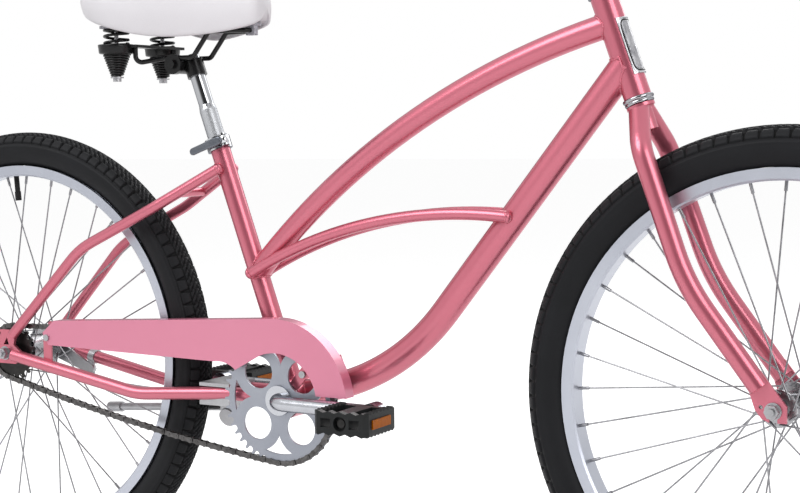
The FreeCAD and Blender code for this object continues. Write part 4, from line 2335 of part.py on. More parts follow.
def write():
    """Checks every object and writes each sub-part."""
    doc.recompute()
    for thing in doc.Objects:
        if "Invalid" in thing.State or "Error" in thing.State:
            raise RuntimeError(f"{thing.Label} did not build: {thing.State}")
    os.makedirs("parts", exist_ok=True)
    for thing in NODES:
        if thing.Shape.isNull() or not thing.Shape.isValid() or not thing.Shape.Solids:
            raise RuntimeError(f"{thing.Label} is not a valid solid")
    for thing in NODES:
        thing.Shape.exportStep(f"parts/{thing.Label}.step")
    print(len(NODES), "sub-parts")


build()
write()
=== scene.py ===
"""Looks of the beach cruiser.

Finishes for every sub-part, treaded tyres, saddle cover and springs, ribbed grips, welds and tube ends, seat
lever, headset cups and badge border, then the camera, light and floor.
"""

import math

import bmesh
import bpy
import numpy as np
from mathutils import Matrix, Vector


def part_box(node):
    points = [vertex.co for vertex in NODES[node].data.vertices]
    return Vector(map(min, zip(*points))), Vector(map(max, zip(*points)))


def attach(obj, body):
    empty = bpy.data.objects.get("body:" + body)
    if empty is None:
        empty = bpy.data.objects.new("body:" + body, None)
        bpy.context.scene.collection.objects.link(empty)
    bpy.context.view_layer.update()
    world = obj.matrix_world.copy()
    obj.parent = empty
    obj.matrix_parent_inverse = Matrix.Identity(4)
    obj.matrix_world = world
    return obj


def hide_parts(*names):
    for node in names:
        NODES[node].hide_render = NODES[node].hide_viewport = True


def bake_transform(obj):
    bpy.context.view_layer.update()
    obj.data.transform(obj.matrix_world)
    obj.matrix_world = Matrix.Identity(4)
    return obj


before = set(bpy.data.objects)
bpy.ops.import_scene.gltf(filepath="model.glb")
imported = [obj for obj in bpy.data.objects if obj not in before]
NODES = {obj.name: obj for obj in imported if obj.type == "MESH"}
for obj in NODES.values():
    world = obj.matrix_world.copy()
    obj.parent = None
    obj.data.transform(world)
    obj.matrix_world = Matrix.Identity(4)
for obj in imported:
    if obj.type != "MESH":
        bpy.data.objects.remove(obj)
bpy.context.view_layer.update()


# Mesh building

SAME_POINT = 1e-7
WIRE_TIP = 0.006
NEARLY_UPRIGHT = 0.9


def put_grid(name, points, closed_round=False, closed_along=False):
    """Mesh from a grid of points [along, round, xyz]; a closed direction joins its last row to its first."""
    along, around = points.shape[:2]
    rows = np.arange(along if closed_along else along - 1)
    columns = np.arange(around if closed_round else around - 1)
    row, column = np.meshgrid(rows, columns, indexing="ij")
    next_row = (row + 1) % along
    next_column = (column + 1) % around
    here = row * around
    there = next_row * around
    corners = [here + column, here + next_column, there + next_column, there + column]
    faces = np.stack(corners, axis=-1).reshape(-1, 4)
    return put_mesh(name, points.reshape(-1, 3), faces)


def put_mesh(name, vertices, faces):
    """Smooth-shaded mesh object from vertices and four-cornered faces; equal points become one."""
    mesh = bpy.data.meshes.new(name)
    mesh.vertices.add(len(vertices))
    mesh.vertices.foreach_set("co", np.ascontiguousarray(vertices, dtype=np.float32).ravel())
    mesh.loops.add(faces.size)
    mesh.loops.foreach_set("vertex_index", np.ascontiguousarray(faces, dtype=np.int32).ravel())
    mesh.polygons.add(len(faces))
    mesh.polygons.foreach_set("loop_start", np.arange(0, faces.size, faces.shape[1], dtype=np.int32))
    mesh.polygons.foreach_set("use_smooth", np.ones(len(faces), dtype=bool))
    mesh.update(calc_edges=True)
    welded = bmesh.new()
    welded.from_mesh(mesh)
    bmesh.ops.remove_doubles(welded, verts=welded.verts, dist=SAME_POINT)
    welded.to_mesh(mesh)
    welded.free()
    mesh.validate()
    piece = bpy.data.objects.new(name, mesh)
    bpy.context.scene.collection.objects.link(piece)
    return piece


def rings_about(along, outward, sides):
    """Unit circles square to a path.

    Circle = cos v n + sin v b, where t is the path's direction, n the given outward direction made square
    to t, and b = t x n.
    """
    along = along / np.linalg.norm(along, axis=1, keepdims=True)
    across = outward - (outward * along).sum(axis=1, keepdims=True) * along
    across = across / np.linalg.norm(across, axis=1, keepdims=True)
    beside = np.cross(along, across)
    v = np.linspace(0, 2 * np.pi, sides, endpoint=False)[None, :, None]
    return np.cos(v) * across[:, None, :] + np.sin(v) * beside[:, None, :]


def loop_way(line):
    """Direction of a closed line at each point, from the point before to the point after."""
    return np.roll(line, -1, axis=0) - np.roll(line, 1, axis=0)


def put_wire(name, centre, outward, radius, sides=12):
    """Round wire along a path, its ends shrunk to a point: centre + radius times the path's circles."""
    ring = rings_about(np.gradient(centre, axis=0), outward, sides)
    place = np.linspace(0, 1, len(centre))
    taper = np.sqrt(np.clip(np.minimum(place, 1 - place) / WIRE_TIP, 0, 1))
    points = centre[:, None, :] + radius * taper[:, None, None] * ring
    return put_grid(name, points, closed_round=True)


def put_turned(name, start, along, profile, sides=64):
    """Turned piece: each profile row (s, r) becomes a ring of radius r at start + s along.

    Ring = start + s d + r (cos v e + sin v f), with e, f and d square to each other.
    """
    rough = np.array([0.0, 0.0, 1.0]) if abs(along[2]) < NEARLY_UPRIGHT else np.array([1.0, 0.0, 0.0])
    first = np.cross(rough, along)
    first = first / np.linalg.norm(first)
    second = np.cross(along, first)
    v = np.linspace(0, 2 * np.pi, sides, endpoint=False)[None, :, None]
    ring = np.cos(v) * first + np.sin(v) * second
    points = start + profile[:, 0, None, None] * along + profile[:, 1, None, None] * ring
    return put_grid(name, points, closed_round=True)


def spline_weights(controls, samples, closed):
    """Weights of the control points of a cubic B-spline at evenly spaced samples.

    Four neighbouring control points share each sample by the uniform cubic blend
    ((1-t)^3, 3t^3-6t^2+4, -3t^3+3t^2+3t+1, t^3) / 6. An open spline repeats its end points.
    """
    spans = controls if closed else controls + 1
    place = np.linspace(0, spans, samples, endpoint=not closed)
    span = np.minimum(place.astype(int), spans - 1)
    t = place - span
    second = 3 * t ** 3 - 6 * t ** 2 + 4
    third = -3 * t ** 3 + 3 * t ** 2 + 3 * t + 1
    blend = np.stack([(1 - t) ** 3, second, third, t ** 3], 1) / 6
    index = span[:, None] + np.arange(4)[None, :] - (1 if closed else 2)
    index = index % controls if closed else np.clip(index, 0, controls - 1)
    weights = np.zeros((samples, controls))
    np.add.at(weights, (np.arange(samples)[:, None], index), blend)
    return weights


def smooth_step(low, high, x):
    """0 at low, 1 at high and 3t^2-2t^3 between; low may be the larger of the two."""
    t = np.clip((x - low) / (high - low), 0, 1)
    return t * t * (3 - 2 * t)


def signed_root(x, power):
    """A power of x's size that keeps x's sign."""
    return np.sign(x) * np.abs(x) ** power


def mesh_points(mesh):
    """All vertices of a mesh as rows of x, y and z."""
    points = np.empty(3 * len(mesh.vertices))
    mesh.vertices.foreach_get("co", points)
    return points.reshape(-1, 3)


# Shader building

FINE_SHARE = 0.35
TONE_RANGE = (0.42, 0.92)
# Places of a Mix node's colour sockets, whose names also stand for plain values
MIX_FIRST = 6
MIX_SECOND = 7
MIX_RESULT = 2


def add_node(tree, kind, inputs=None, **settings):
    """New shader node with its settings; an input that is a socket is linked, any other is set."""
    made = tree.nodes.new(kind)
    for name, setting in settings.items():
        setattr(made, name, setting)
    for name, given in (inputs or {}).items():
        if isinstance(given, bpy.types.NodeSocket):
            tree.links.new(given, made.inputs[name])
        else:
            made.inputs[name].default_value = given
    return made


def new_group(name, inputs, outputs):
    """Empty shader group with these named sockets; returns it with its input and output nodes."""
    tree = bpy.data.node_groups.new(name, "ShaderNodeTree")
    for socket, (kind, default) in inputs.items():
        made = tree.interface.new_socket(socket, in_out="INPUT", socket_type=kind)
        if default is not None:
            made.default_value = default
    for socket, kind in outputs.items():
        tree.interface.new_socket(socket, in_out="OUTPUT", socket_type=kind)
    return tree, tree.nodes.new("NodeGroupInput"), tree.nodes.new("NodeGroupOutput")


def mottle_group():
    """Uneven tone: two sizes of noise added, spread to 0..1 about one half."""
    tree, given, result = new_group(
        "uneven_tone",
        {
            "Vector": ("NodeSocketVector", None),
            "Scale": ("NodeSocketFloat", 8.0),
            "Fine Scale": ("NodeSocketFloat", 90.0),
        },
        {"Tone": "NodeSocketFloat", "Fine": "NodeSocketFloat"},
    )
    broad = add_node(tree, "ShaderNodeTexNoise", {
        "Vector": given.outputs["Vector"], "Scale": given.outputs["Scale"],
        "Detail": 4.0, "Roughness": 0.6,
    })
    fine = add_node(tree, "ShaderNodeTexNoise", {
        "Vector": given.outputs["Vector"], "Scale": given.outputs["Fine Scale"],
        "Detail": 3.0, "Roughness": 0.55,
    })
    mixed = add_node(tree, "ShaderNodeMath", {
        0: fine.outputs["Fac"], 1: FINE_SHARE, 2: broad.outputs["Fac"],
    }, operation="MULTIPLY_ADD")
    spread = add_node(tree, "ShaderNodeMapRange", {
        "Value": mixed.outputs["Value"], "From Min": TONE_RANGE[0], "From Max": TONE_RANGE[1],
    })
    tree.links.new(spread.outputs["Result"], result.inputs["Tone"])
    tree.links.new(fine.outputs["Fac"], result.inputs["Fine"])
    return tree


TONE = mottle_group()


def mix_colours(tree, share, first, second):
    """Socket with the mix of two colours; each is a socket or a plain colour."""
    mixed = add_node(tree, "ShaderNodeMix", {"Factor": share}, data_type="RGBA")
    for place, given in ((MIX_FIRST, first), (MIX_SECOND, second)):
        if isinstance(given, bpy.types.NodeSocket):
            tree.links.new(given, mixed.inputs[place])
        else:
            mixed.inputs[place].default_value = (*given, 1.0)
    return mixed.outputs[MIX_RESULT]


def finish(
    name, dark, light, rough, metallic=0.0, coat=0.0, coat_rough=0.05, scale=9.0, fine=160.0, bump=0.0,
    reach=0.0004, stretch=(1.0, 1.0, 1.0), specular=0.5, edge=(1.0, 1.0, 1.0),
):
    """Material whose colour and roughness drift between two values with an uneven tone, and a fine bump."""
    material = bpy.data.materials.new(name)
    material.use_nodes = True
    tree = material.node_tree
    shader = tree.nodes["Principled BSDF"]
    shader.inputs["Metallic"].default_value = metallic
    shader.inputs["Coat Weight"].default_value = coat
    shader.inputs["Coat Roughness"].default_value = coat_rough
    shader.inputs["Specular IOR Level"].default_value = specular
    shader.inputs["Specular Tint"].default_value = (*edge, 1.0)
    place = add_node(tree, "ShaderNodeTexCoord")
    mapped = add_node(tree, "ShaderNodeMapping", {
        "Vector": place.outputs["Object"], "Scale": stretch,
    })
    tone = add_node(tree, "ShaderNodeGroup", node_tree=TONE)
    tree.links.new(mapped.outputs["Vector"], tone.inputs["Vector"])
    tone.inputs["Scale"].default_value = scale
    tone.inputs["Fine Scale"].default_value = fine
    tree.links.new(mix_colours(tree, tone.outputs["Tone"], dark, light), shader.inputs["Base Color"])
    gloss = add_node(tree, "ShaderNodeMapRange", {
        "Value": tone.outputs["Tone"], "To Min": rough[0], "To Max": rough[1],
    })
    tree.links.new(gloss.outputs["Result"], shader.inputs["Roughness"])
    if bump:
        relief = add_node(tree, "ShaderNodeBump", {
            "Strength": bump, "Distance": reach, "Height": tone.outputs["Fine"],
        })
        tree.links.new(relief.outputs["Normal"], shader.inputs["Normal"])
    return material


def wear(material, *names):
    """Puts a finish on CAD sub-parts."""
    for name in names:
        NODES[name].data.materials.clear()
        NODES[name].data.materials.append(material)


# Finishes

PINK = finish(
    "pearl_pink_paint", (0.515, 0.128, 0.178), (0.560, 0.143, 0.196), (0.31, 0.37), metallic=0.70, coat=0.7,
    coat_rough=0.05, scale=4.0, fine=1400.0, bump=0.02, reach=0.0001, edge=(0.80, 0.36, 0.46),
)
GUARD_PINK = finish(
    "guard_pink_paint", (0.640, 0.200, 0.300), (0.680, 0.225, 0.330), (0.32, 0.38), metallic=0.40, coat=0.6,
    coat_rough=0.08, scale=4.0, fine=1400.0, bump=0.02, reach=0.0001,
)
RUBBER = finish(
    "tyre_rubber", (0.0065, 0.0068, 0.0080), (0.0120, 0.0124, 0.0144), (0.48, 0.64), scale=14.0, fine=420.0,
    bump=0.2, reach=0.0003, specular=0.16,
)
RIM = finish(
    "satin_rim", (0.41, 0.43, 0.49), (0.51, 0.53, 0.59), (0.30, 0.42), metallic=0.90, scale=6.0, fine=700.0,
    bump=0.05, reach=0.0001,
)
SPOKE = finish("spoke_steel", (0.20, 0.20, 0.21), (0.34, 0.34, 0.36), (0.24, 0.38), metallic=1.0, scale=40.0)
HUB = finish(
    "hub_steel", (0.30, 0.30, 0.31), (0.46, 0.46, 0.48), (0.20, 0.36), metallic=1.0, scale=30.0, fine=600.0,
)
ZINC = finish(
    "dull_zinc", (0.32, 0.32, 0.33), (0.48, 0.48, 0.50), (0.32, 0.50), metallic=0.95, scale=28.0, fine=500.0,
    bump=0.1, reach=0.0002,
)
CHAIN = finish(
    "oiled_chain", (0.050, 0.047, 0.047), (0.15, 0.145, 0.145), (0.28, 0.48), metallic=0.9, scale=120.0,
)
RING = finish(
    "satin_chainring", (0.26, 0.275, 0.32), (0.35, 0.365, 0.41), (0.34, 0.46), metallic=0.75, scale=10.0,
    fine=800.0, bump=0.08, reach=0.0001,
)
STEEL_EDGE = (0.30, 0.30, 0.32)
CHROME = finish(
    "chrome", (0.54, 0.55, 0.57), (0.64, 0.65, 0.67), (0.06, 0.14), metallic=1.0, scale=14.0, edge=STEEL_EDGE,
)
CRANK = finish(
    "satin_crank", (0.40, 0.41, 0.44), (0.50, 0.51, 0.54), (0.16, 0.26), metallic=1.0, scale=14.0,
    edge=STEEL_EDGE,
)
HEADSET = finish(
    "headset_chrome", (0.26, 0.26, 0.28), (0.40, 0.40, 0.42), (0.08, 0.16), metallic=1.0, scale=14.0,
    edge=STEEL_EDGE,
)
LEVER = finish(
    "lever_steel", (0.10, 0.11, 0.13), (0.16, 0.17, 0.19), (0.26, 0.38), metallic=0.8, scale=40.0, fine=700.0,
)
BLACK = finish(
    "black_enamel", (0.004, 0.004, 0.004), (0.009, 0.009, 0.010), (0.26, 0.40), coat=0.12, scale=40.0,
    fine=600.0, bump=0.1, reach=0.0002, specular=0.22,
)
VALVE = finish(
    "valve_rubber", (0.006, 0.006, 0.006), (0.014, 0.014, 0.014), (0.5, 0.7), scale=60.0, specular=0.2,
)
PLASTIC = finish(
    "pedal_plastic", (0.004, 0.005, 0.005), (0.012, 0.013, 0.014), (0.36, 0.54), scale=50.0, fine=900.0,
    bump=0.25, reach=0.0003, specular=0.25,
)
AMBER = finish(
    "amber_lens", (0.28, 0.066, 0.001), (0.43, 0.115, 0.002), (0.30, 0.42), scale=160.0, fine=420.0,
    bump=0.35, reach=0.0008, specular=0.10,
)
PAN = finish(
    "speckled_pan", (0.14, 0.14, 0.16), (0.60, 0.59, 0.65), (0.50, 0.66), scale=260.0, fine=900.0, bump=0.3,
    reach=0.0004,
)
VINYL = finish(
    "white_vinyl", (0.720, 0.700, 0.730), (0.775, 0.755, 0.785), (0.40, 0.54), scale=7.0, fine=520.0,
    bump=0.22, reach=0.0005, specular=0.4,
)
GRIP = finish(
    "grip_rubber", (0.62, 0.61, 0.60), (0.70, 0.69, 0.68), (0.52, 0.68), scale=30.0, fine=600.0, bump=0.25,
    reach=0.0003,
)
BADGE = finish(
    "brushed_badge", (0.20, 0.20, 0.22), (0.54, 0.54, 0.56), (0.22, 0.36), metallic=1.0, scale=160.0,
    fine=700.0, bump=0.2, reach=0.0002, stretch=(1.0, 1.0, 0.3),
)
SPROCKET = finish(
    "black_sprocket", (0.014, 0.014, 0.014), (0.045, 0.043, 0.042), (0.34, 0.5), metallic=0.8, scale=60.0,
)

# Seat tube: its axis, the direction square to it towards the front, and its upper end
SEAT_AXIS = np.array([-0.335452, 0.0, 0.942057])
SEAT_FRONT = np.array([0.942057, 0.0, 0.335452])
SEAT_TOP = np.array([-0.234031, 0.0, 0.660163])
SATIN_LENGTH = 0.0485
SATIN_BLUR = 0.0004
SATIN_ROUGH = 0.42
KNURL_SCALE = 900.0
KNURL_STRENGTH = 0.22
KNURL_DEPTH = 0.0003


def post_finish():
    """Chrome whose lower part, up to a line across the post, is satin with a fine knurl."""
    material = finish(
        "seatpost_chrome", (0.40, 0.41, 0.43), (0.50, 0.51, 0.53), (0.05, 0.10), metallic=1.0, scale=14.0,
        edge=STEEL_EDGE,
    )
    tree = material.node_tree
    shader = tree.nodes["Principled BSDF"]
    place = add_node(tree, "ShaderNodeTexCoord")
    height = add_node(tree, "ShaderNodeVectorMath", {
        0: place.outputs["Object"], 1: SEAT_AXIS,
    }, operation="DOT_PRODUCT")
    line = float(SEAT_TOP @ SEAT_AXIS) + SATIN_LENGTH
    satin = add_node(tree, "ShaderNodeMapRange", {
        "Value": height.outputs["Value"], "From Min": line + SATIN_BLUR, "From Max": line - SATIN_BLUR,
    })
    polished = shader.inputs["Roughness"].links[0].from_socket
    gloss = add_node(tree, "ShaderNodeMix", {
        "Factor": satin.outputs["Result"], "A": polished, "B": SATIN_ROUGH,
    })
    tree.links.new(gloss.outputs[0], shader.inputs["Roughness"])
    knurl = add_node(tree, "ShaderNodeTexVoronoi", {"Vector": place.outputs["Object"], "Scale": KNURL_SCALE})
    depth = add_node(tree, "ShaderNodeMath", {
        0: knurl.outputs["Distance"], 1: satin.outputs["Result"],
    }, operation="MULTIPLY")
    relief = add_node(tree, "ShaderNodeBump", {
        "Strength": KNURL_STRENGTH, "Distance": KNURL_DEPTH, "Height": depth.outputs["Value"],
    })
    tree.links.new(relief.outputs["Normal"], shader.inputs["Normal"])
    return material


POST = post_finish()


def paint_groove_shade(material, attribute, groove_shade_colour):
    """Painted shade: darkens a finish's colour towards the given shade colour where the named point attribute
    is 1.
    """
    tree = material.node_tree
    shader = tree.nodes["Principled BSDF"]
    plain = shader.inputs["Base Color"].links[0].from_socket
    depth = add_node(tree, "ShaderNodeAttribute", attribute_name=attribute)
    tree.links.new(mix_colours(tree, depth.outputs["Fac"], plain, groove_shade_colour), shader.inputs["Base Color"])


# Painted shade in the tyre's grooves: the rubber's colour darkens with each point's groove depth.
paint_groove_shade(RUBBER, "groove", (0.001, 0.001, 0.001))

wear(
    PINK, "head_tube", "top_tube", "down_tube", "seat_tube", "bottom_bracket_shell", "mid_tubes",
    "chainstay_right", "chainstay_left", "seatstay_right", "seatstay_left", "dropouts", "seatstay_bridge",
    "chain_guard_tabs", "fork_steerer", "fork_blade_right", "fork_blade_left", "fork_tips",
)
wear(GUARD_PINK, "chain_guard")
wear(RIM, "front_rim", "rear_rim")
wear(SPOKE, "front_spokes", "rear_spokes")
wear(HUB, "front_hub", "rear_hub")
wear(
    ZINC, "front_axle", "rear_axle", "chain_guard_screws", "spring_bolts", "brake_arm", "kickstand_bracket",
    "kickstand_leg",
)
wear(CHAIN, "chain")
wear(RING, "chainring")
wear(CHROME, "bottom_bracket_cups", "headset_locknut", "stem", "handlebar", "seat_collar")
wear(CRANK, "crank")
wear(POST, "seatpost")
wear(BLACK, "saddle_clamp", "saddle_rails", "saddle_carrier")
wear(VALVE, "front_valve", "rear_valve")
wear(PLASTIC, "pedal_right", "pedal_left")
wear(AMBER, "pedal_reflectors_right", "pedal_reflectors_left")
wear(PAN, "saddle_pan")
wear(BADGE, "head_badge")
wear(SPROCKET, "rear_sprocket", "pedal_spindles")


# Tyres

TYRE_RADIUS = 0.337
SECTION_RADIUS = 0.0276
RIM_EDGE = 0.2863
SHOULDER_LUGS = 108
GROOVE = 0.0036
TREAD_TOP = 0.0011
# Places along one lug and angles across the section, closer where the blocks have their edges
LUG_PLACES = np.array([
    0.0, 0.08, 0.16, 0.24, 0.31, 0.36, 0.40, 0.44, 0.48, 0.52, 0.56, 0.60, 0.64, 0.69, 0.76, 0.84, 0.92,
])
SECTION_ANGLES = np.array([
    0, 5, 10, 13.5, 15, 16.5, 20, 25, 28, 30.5, 32.5, 34.5, 40, 48, 56, 60.5, 62, 64, 67, 71.5, 73, 78, 79.5,
    88, 104, 126,
])
# Angles across the section, in degrees, over which each part of the tread rises or falls
BLOCK_RISE = (31, 35)
BLOCK_FALL = (64, 61)
BLOCK_NARROWING = (46, 34)
CROWN_FALL = (31, 28)
RING_ANGLE = 15
RING_EDGE = (0.8, 1.6)
TREAD_FALL = (66, 63)
WALL_RISE = (63, 66)
WALL_FADE = 14
RIB_RISE = (71, 73)
RIB_FALL = (79, 77)
# Shares of a lug's half length left open between blocks and between the crown's ribs
BLOCK_GAP = 0.14
BLOCK_MORE_GAP = 0.16
BLOCK_EDGE = 0.07
RIB_GAP = (0.22, 0.36)
CROWN_RIBS = 2
WALL_DROP = 0.0010
RIB_HEIGHT_ON_WALL = 0.0007


def tread_height(turn, across):
    """Tread relief from 0 (groove) to 1 (block top) at a turn in lugs and an angle across the section.

    Shoulder blocks fill most of each lug between 34 and 62 degrees and are shorter towards the crown.
    The crown has chevron ribs, two to a lug, parted by a ring groove on each side.
    """
    side = np.degrees(np.abs(across))
    phase = np.abs((turn % 1.0) - 0.5) * 2
    gap = BLOCK_GAP + BLOCK_MORE_GAP * smooth_step(*BLOCK_NARROWING, side)
    blocks = smooth_step(gap, gap + BLOCK_EDGE, phase)
    blocks = blocks * smooth_step(*BLOCK_FALL, side) * smooth_step(*BLOCK_RISE, side)
    chevron = np.abs(((turn * CROWN_RIBS + side / RING_ANGLE) % 1.0) - 0.5) * 2
    crown = smooth_step(*RIB_GAP, chevron) * smooth_step(*CROWN_FALL, side)
    ring = 1 - smooth_step(*RING_EDGE, np.abs(side - RING_ANGLE))
    return np.maximum(blocks, crown * (1 - ring))


def treaded_tyre(name, middle):
    """Tyre whose radius about its section's circle drops by the groove depth where the tread is open.

    Place = middle + (R + rho cos v) (cos u, 0, sin u) + rho sin v (0, 1, 0), with u round the wheel
    and v across the section, from one rim edge over the crown to the other. The last row of v joins
    the first inside the rim. The point attribute "groove" says how deep each point lies, from 0 to 1.
    """
    lugs = (np.arange(SHOULDER_LUGS)[:, None] + LUG_PLACES).reshape(-1, 1)
    u = 2 * np.pi * lugs / SHOULDER_LUGS
    core = TYRE_RADIUS - SECTION_RADIUS
    foot = math.pi - math.acos((core - RIM_EDGE) / SECTION_RADIUS)
    half = np.append(np.radians(SECTION_ANGLES), foot)
    v = np.concatenate([-half[:0:-1], half])[None, :]
    relief = tread_height(lugs, v)
    side = np.degrees(np.abs(v))
    tread = smooth_step(*TREAD_FALL, side)
    wall_end = math.degrees(foot)
    wall = smooth_step(*WALL_RISE, side) * smooth_step(wall_end, wall_end - WALL_FADE, side)
    rib = RIB_HEIGHT_ON_WALL * smooth_step(*RIB_RISE, side) * smooth_step(*RIB_FALL, side)
    rho = SECTION_RADIUS - GROOVE * tread * (1 - relief) - WALL_DROP * wall + rib
    reach = core + rho * np.cos(v)
    points = np.stack([
        middle[0] + reach * np.cos(u), middle[1] + rho * np.sin(v) + 0 * u, middle[2] + reach * np.sin(u),
    ], axis=-1)
    tyre = put_grid(name, points, closed_round=True, closed_along=True)
    places = mesh_points(tyre.data) - middle
    outer = np.hypot(np.hypot(places[:, 0], places[:, 2]) - core, places[:, 1])
    depth = np.clip((SECTION_RADIUS - outer - TREAD_TOP) / GROOVE, 0, 1)
    # Groove depth, which sets how much painted shade the rubber gets in its grooves
    groove = tyre.data.attributes.new("groove", "FLOAT", "POINT")
    groove.data.foreach_set("value", depth.astype(np.float32))
    return tyre


for word in ("front", "rear"):
    hub_low, hub_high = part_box(f"{word}_hub")
    rubber = treaded_tyre(f"{word}_tyre_tread", (hub_low + hub_high) / 2)
    rubber.data.materials.append(RUBBER)
    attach(rubber, f"{word}_wheel")
    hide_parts(f"{word}_tyre")


# Saddle cover

CLAMP = np.array([-0.274789, 0.0, 0.774623])
COVER_WALL = 0.006
COVER_LIP = 0.001
COVER_ROOM = 0.007
COVER_END = (0.003, 0, 0)
COVER_GRID = (160, 128)
PAN_TOP = 0.051
# Control points of a section's loop, as shares of its widths and heights
SKIRT_BULGE = 0.45
SKIRT_HEIGHTS = (0.22, 0.55)
CROWN_WIDTHS = (0.90, 0.62, 0.28)
CROWN_HEIGHTS = (0.55, 1.02, 1.06)
# Place before the clamp, half widths of the lower edge and of the widest line, then the heights over
# the clamp of the lower edge, of the shoulder and of the crown, all in millimetres
COVER_SECTIONS = np.array([
    (-146, 62, 68, 78, 93, 99),
    (-139, 77, 84, 68, 95, 106),
    (-115, 91, 99, 56, 97, 113),
    (-75, 98, 106, 44, 97, 117),
    (-20, 78, 86, 30, 89, 113),
    (40, 45, 51, 32, 83, 105),
    (92, 28, 32, 40, 81, 100),
    (120, 21, 25, 46, 79, 94),
    (128, 14, 17, 53, 77, 88),
]) / 1000


def saddle_cover():
    """Cushion skin: a closed B-spline loop across the saddle, carried by a B-spline along it.

    Each section's loop goes up the drawn-in skirt, over the crown and down the other skirt, then
    turns in at the lip and crosses under the cushion at the pan's top. Both ends close to a point.
    """
    x, edge, widest, low, shoulder, crown = COVER_SECTIONS.T
    height = shoulder - low
    inner = edge - COVER_WALL
    ceiling = np.maximum(PAN_TOP, low + COVER_ROOM)
    top = crown - shoulder
    half_y = [inner, edge, edge + SKIRT_BULGE * (widest - edge), widest, widest]
    half_y += [share * widest for share in CROWN_WIDTHS]
    half_z = [low + COVER_LIP, low - COVER_LIP]
    half_z += [low + share * height for share in SKIRT_HEIGHTS]
    half_z += [shoulder]
    half_z += [shoulder + share * top for share in CROWN_HEIGHTS]
    y = np.stack(half_y + [-part for part in reversed(half_y)] + [-inner, 0 * inner, inner], axis=1)
    z = np.stack(half_z + list(reversed(half_z)) + [ceiling, ceiling, ceiling], axis=1)
    net = np.stack([np.repeat(x[:, None], y.shape[1], axis=1), y, z], axis=-1)
    nose = np.broadcast_to(net[-1].mean(axis=0) + COVER_END, net[-1].shape)
    tail = np.broadcast_to(net[0].mean(axis=0) - COVER_END, net[0].shape)
    net = np.concatenate([tail[None], net, nose[None]])
    along = spline_weights(net.shape[0], COVER_GRID[0], closed=False)
    around = spline_weights(net.shape[1], COVER_GRID[1], closed=True)
    points = np.einsum("ai,ijk,bj->abk", along, net, around)
    return put_grid("saddle_cover", points + CLAMP, closed_round=True)


cover = saddle_cover()
cover.data.materials.append(VINYL)
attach(cover, "saddle")
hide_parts("saddle_cushion")


# Saddle springs

SPRING_BACK = 0.096
SPRING_OFFSET = 0.054
CARRIER_LOW = 0.0195
CARRIER_TOP = 0.0235
PAN_LOW = 0.047
COIL_RADIUS = 0.017
COIL_WIRE = 0.0021
COIL_TURNS = 3.0
COIL_SEAT = 0.5
COIL_STEPS = 240
CONE_TOP = 0.0212
CONE_FOOT = 0.0072
CONE_HEIGHT = 0.0425
CONE_WIRE = 0.00185
CONE_TURNS = 11.0
CONE_STEPS = 620
UPRIGHT = np.array([0.0, 0.0, 1.0])


def coil_path(foot, turns, radius, height):
    """Winding about an upright axis, and its outward way.

    Place = foot + radius (cos a, sin a, 0) + height (0, 0, 1), with a one full circle to a turn.
    """
    angle = 2 * np.pi * turns
    outward = np.stack([np.cos(angle), np.sin(angle), 0 * angle], axis=1)
    return foot + radius[:, None] * outward + height[:, None] * UPRIGHT, outward


def upper_coil(name, foot):
    """Open coil from carrier to pan; half a turn at each end lies flat, and the turns between rise evenly."""
    turn = np.linspace(0, COIL_TURNS, COIL_STEPS)
    climb = np.clip((turn - COIL_SEAT) / (COIL_TURNS - 2 * COIL_SEAT), 0, 1)
    low = CARRIER_TOP + COIL_WIRE
    high = PAN_LOW - COIL_WIRE
    path, outward = coil_path(foot, turn, COIL_RADIUS + 0 * turn, low + (high - low) * climb)
    return put_wire(name, path, outward, COIL_WIRE)


def lower_cone(name, foot):
    """Close winding under the carrier, whose radius shrinks evenly with its depth."""
    turn = np.linspace(0, CONE_TURNS, CONE_STEPS)
    share = turn / CONE_TURNS
    depth = CONE_WIRE + (CONE_HEIGHT - 2 * CONE_WIRE) * share
    radius = CONE_TOP + (CONE_FOOT - CONE_TOP) * share
    path, outward = coil_path(foot, turn, radius, CARRIER_LOW - depth)
    return put_wire(name, path, outward, CONE_WIRE, sides=10)


# Height over the clamp and radius of the pressed cup that holds the cone, from its inner lip round its wall
CUP_PROFILE = np.array([
    (0.0180, 0.0222), (0.0120, 0.0228), (0.0112, 0.0238), (0.0116, 0.0250), (0.0130, 0.0256),
    (0.0200, 0.0262), (0.0232, 0.0268), (0.0243, 0.0264), (0.0246, 0.0250), (0.0238, 0.0230),
    (0.0194, 0.0222), (0.0180, 0.0222),
])


for side, word in ((-1, "right"), (1, "left")):
    foot = CLAMP + np.array([-SPRING_BACK, side * SPRING_OFFSET, 0.0])
    coil = upper_coil(f"saddle_coil_{word}", foot)
    cone = lower_cone(f"saddle_cone_{word}", foot)
    cup = put_turned(f"spring_cup_{word}", foot, UPRIGHT, CUP_PROFILE)
    cup.data.materials.append(BLACK)
    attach(cup, "seat")
    for winding in (coil, cone):
        winding.data.materials.append(BLACK)
        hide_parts("saddle_springs")
    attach(cone, "seat")
    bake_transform(coil)


# Grips

GRIP_LENGTH = 0.130
GRIP_FLOOR = 0.126
GRIP_BORE = 0.0111
GRIP_MOUTH = 0.0176
GRIP_FLANGE = 0.0187
GRIP_BODY = 0.0150
GRIP_ROUNDING = 0.006
GRIP_START = 0.0004
GRIP_STEPS = 300
RIB_HEIGHT = 0.0010
RIB_PITCH = 0.0052
# Places along the grip over which the flange and the ribs begin and end
FLANGE_RISE = (-0.0008, 0.0010)
FLANGE_FALL = (0.0052, 0.0034)
RIBS_RISE = (0.010, 0.014)
RIBS_FALL = (0.122, 0.118)


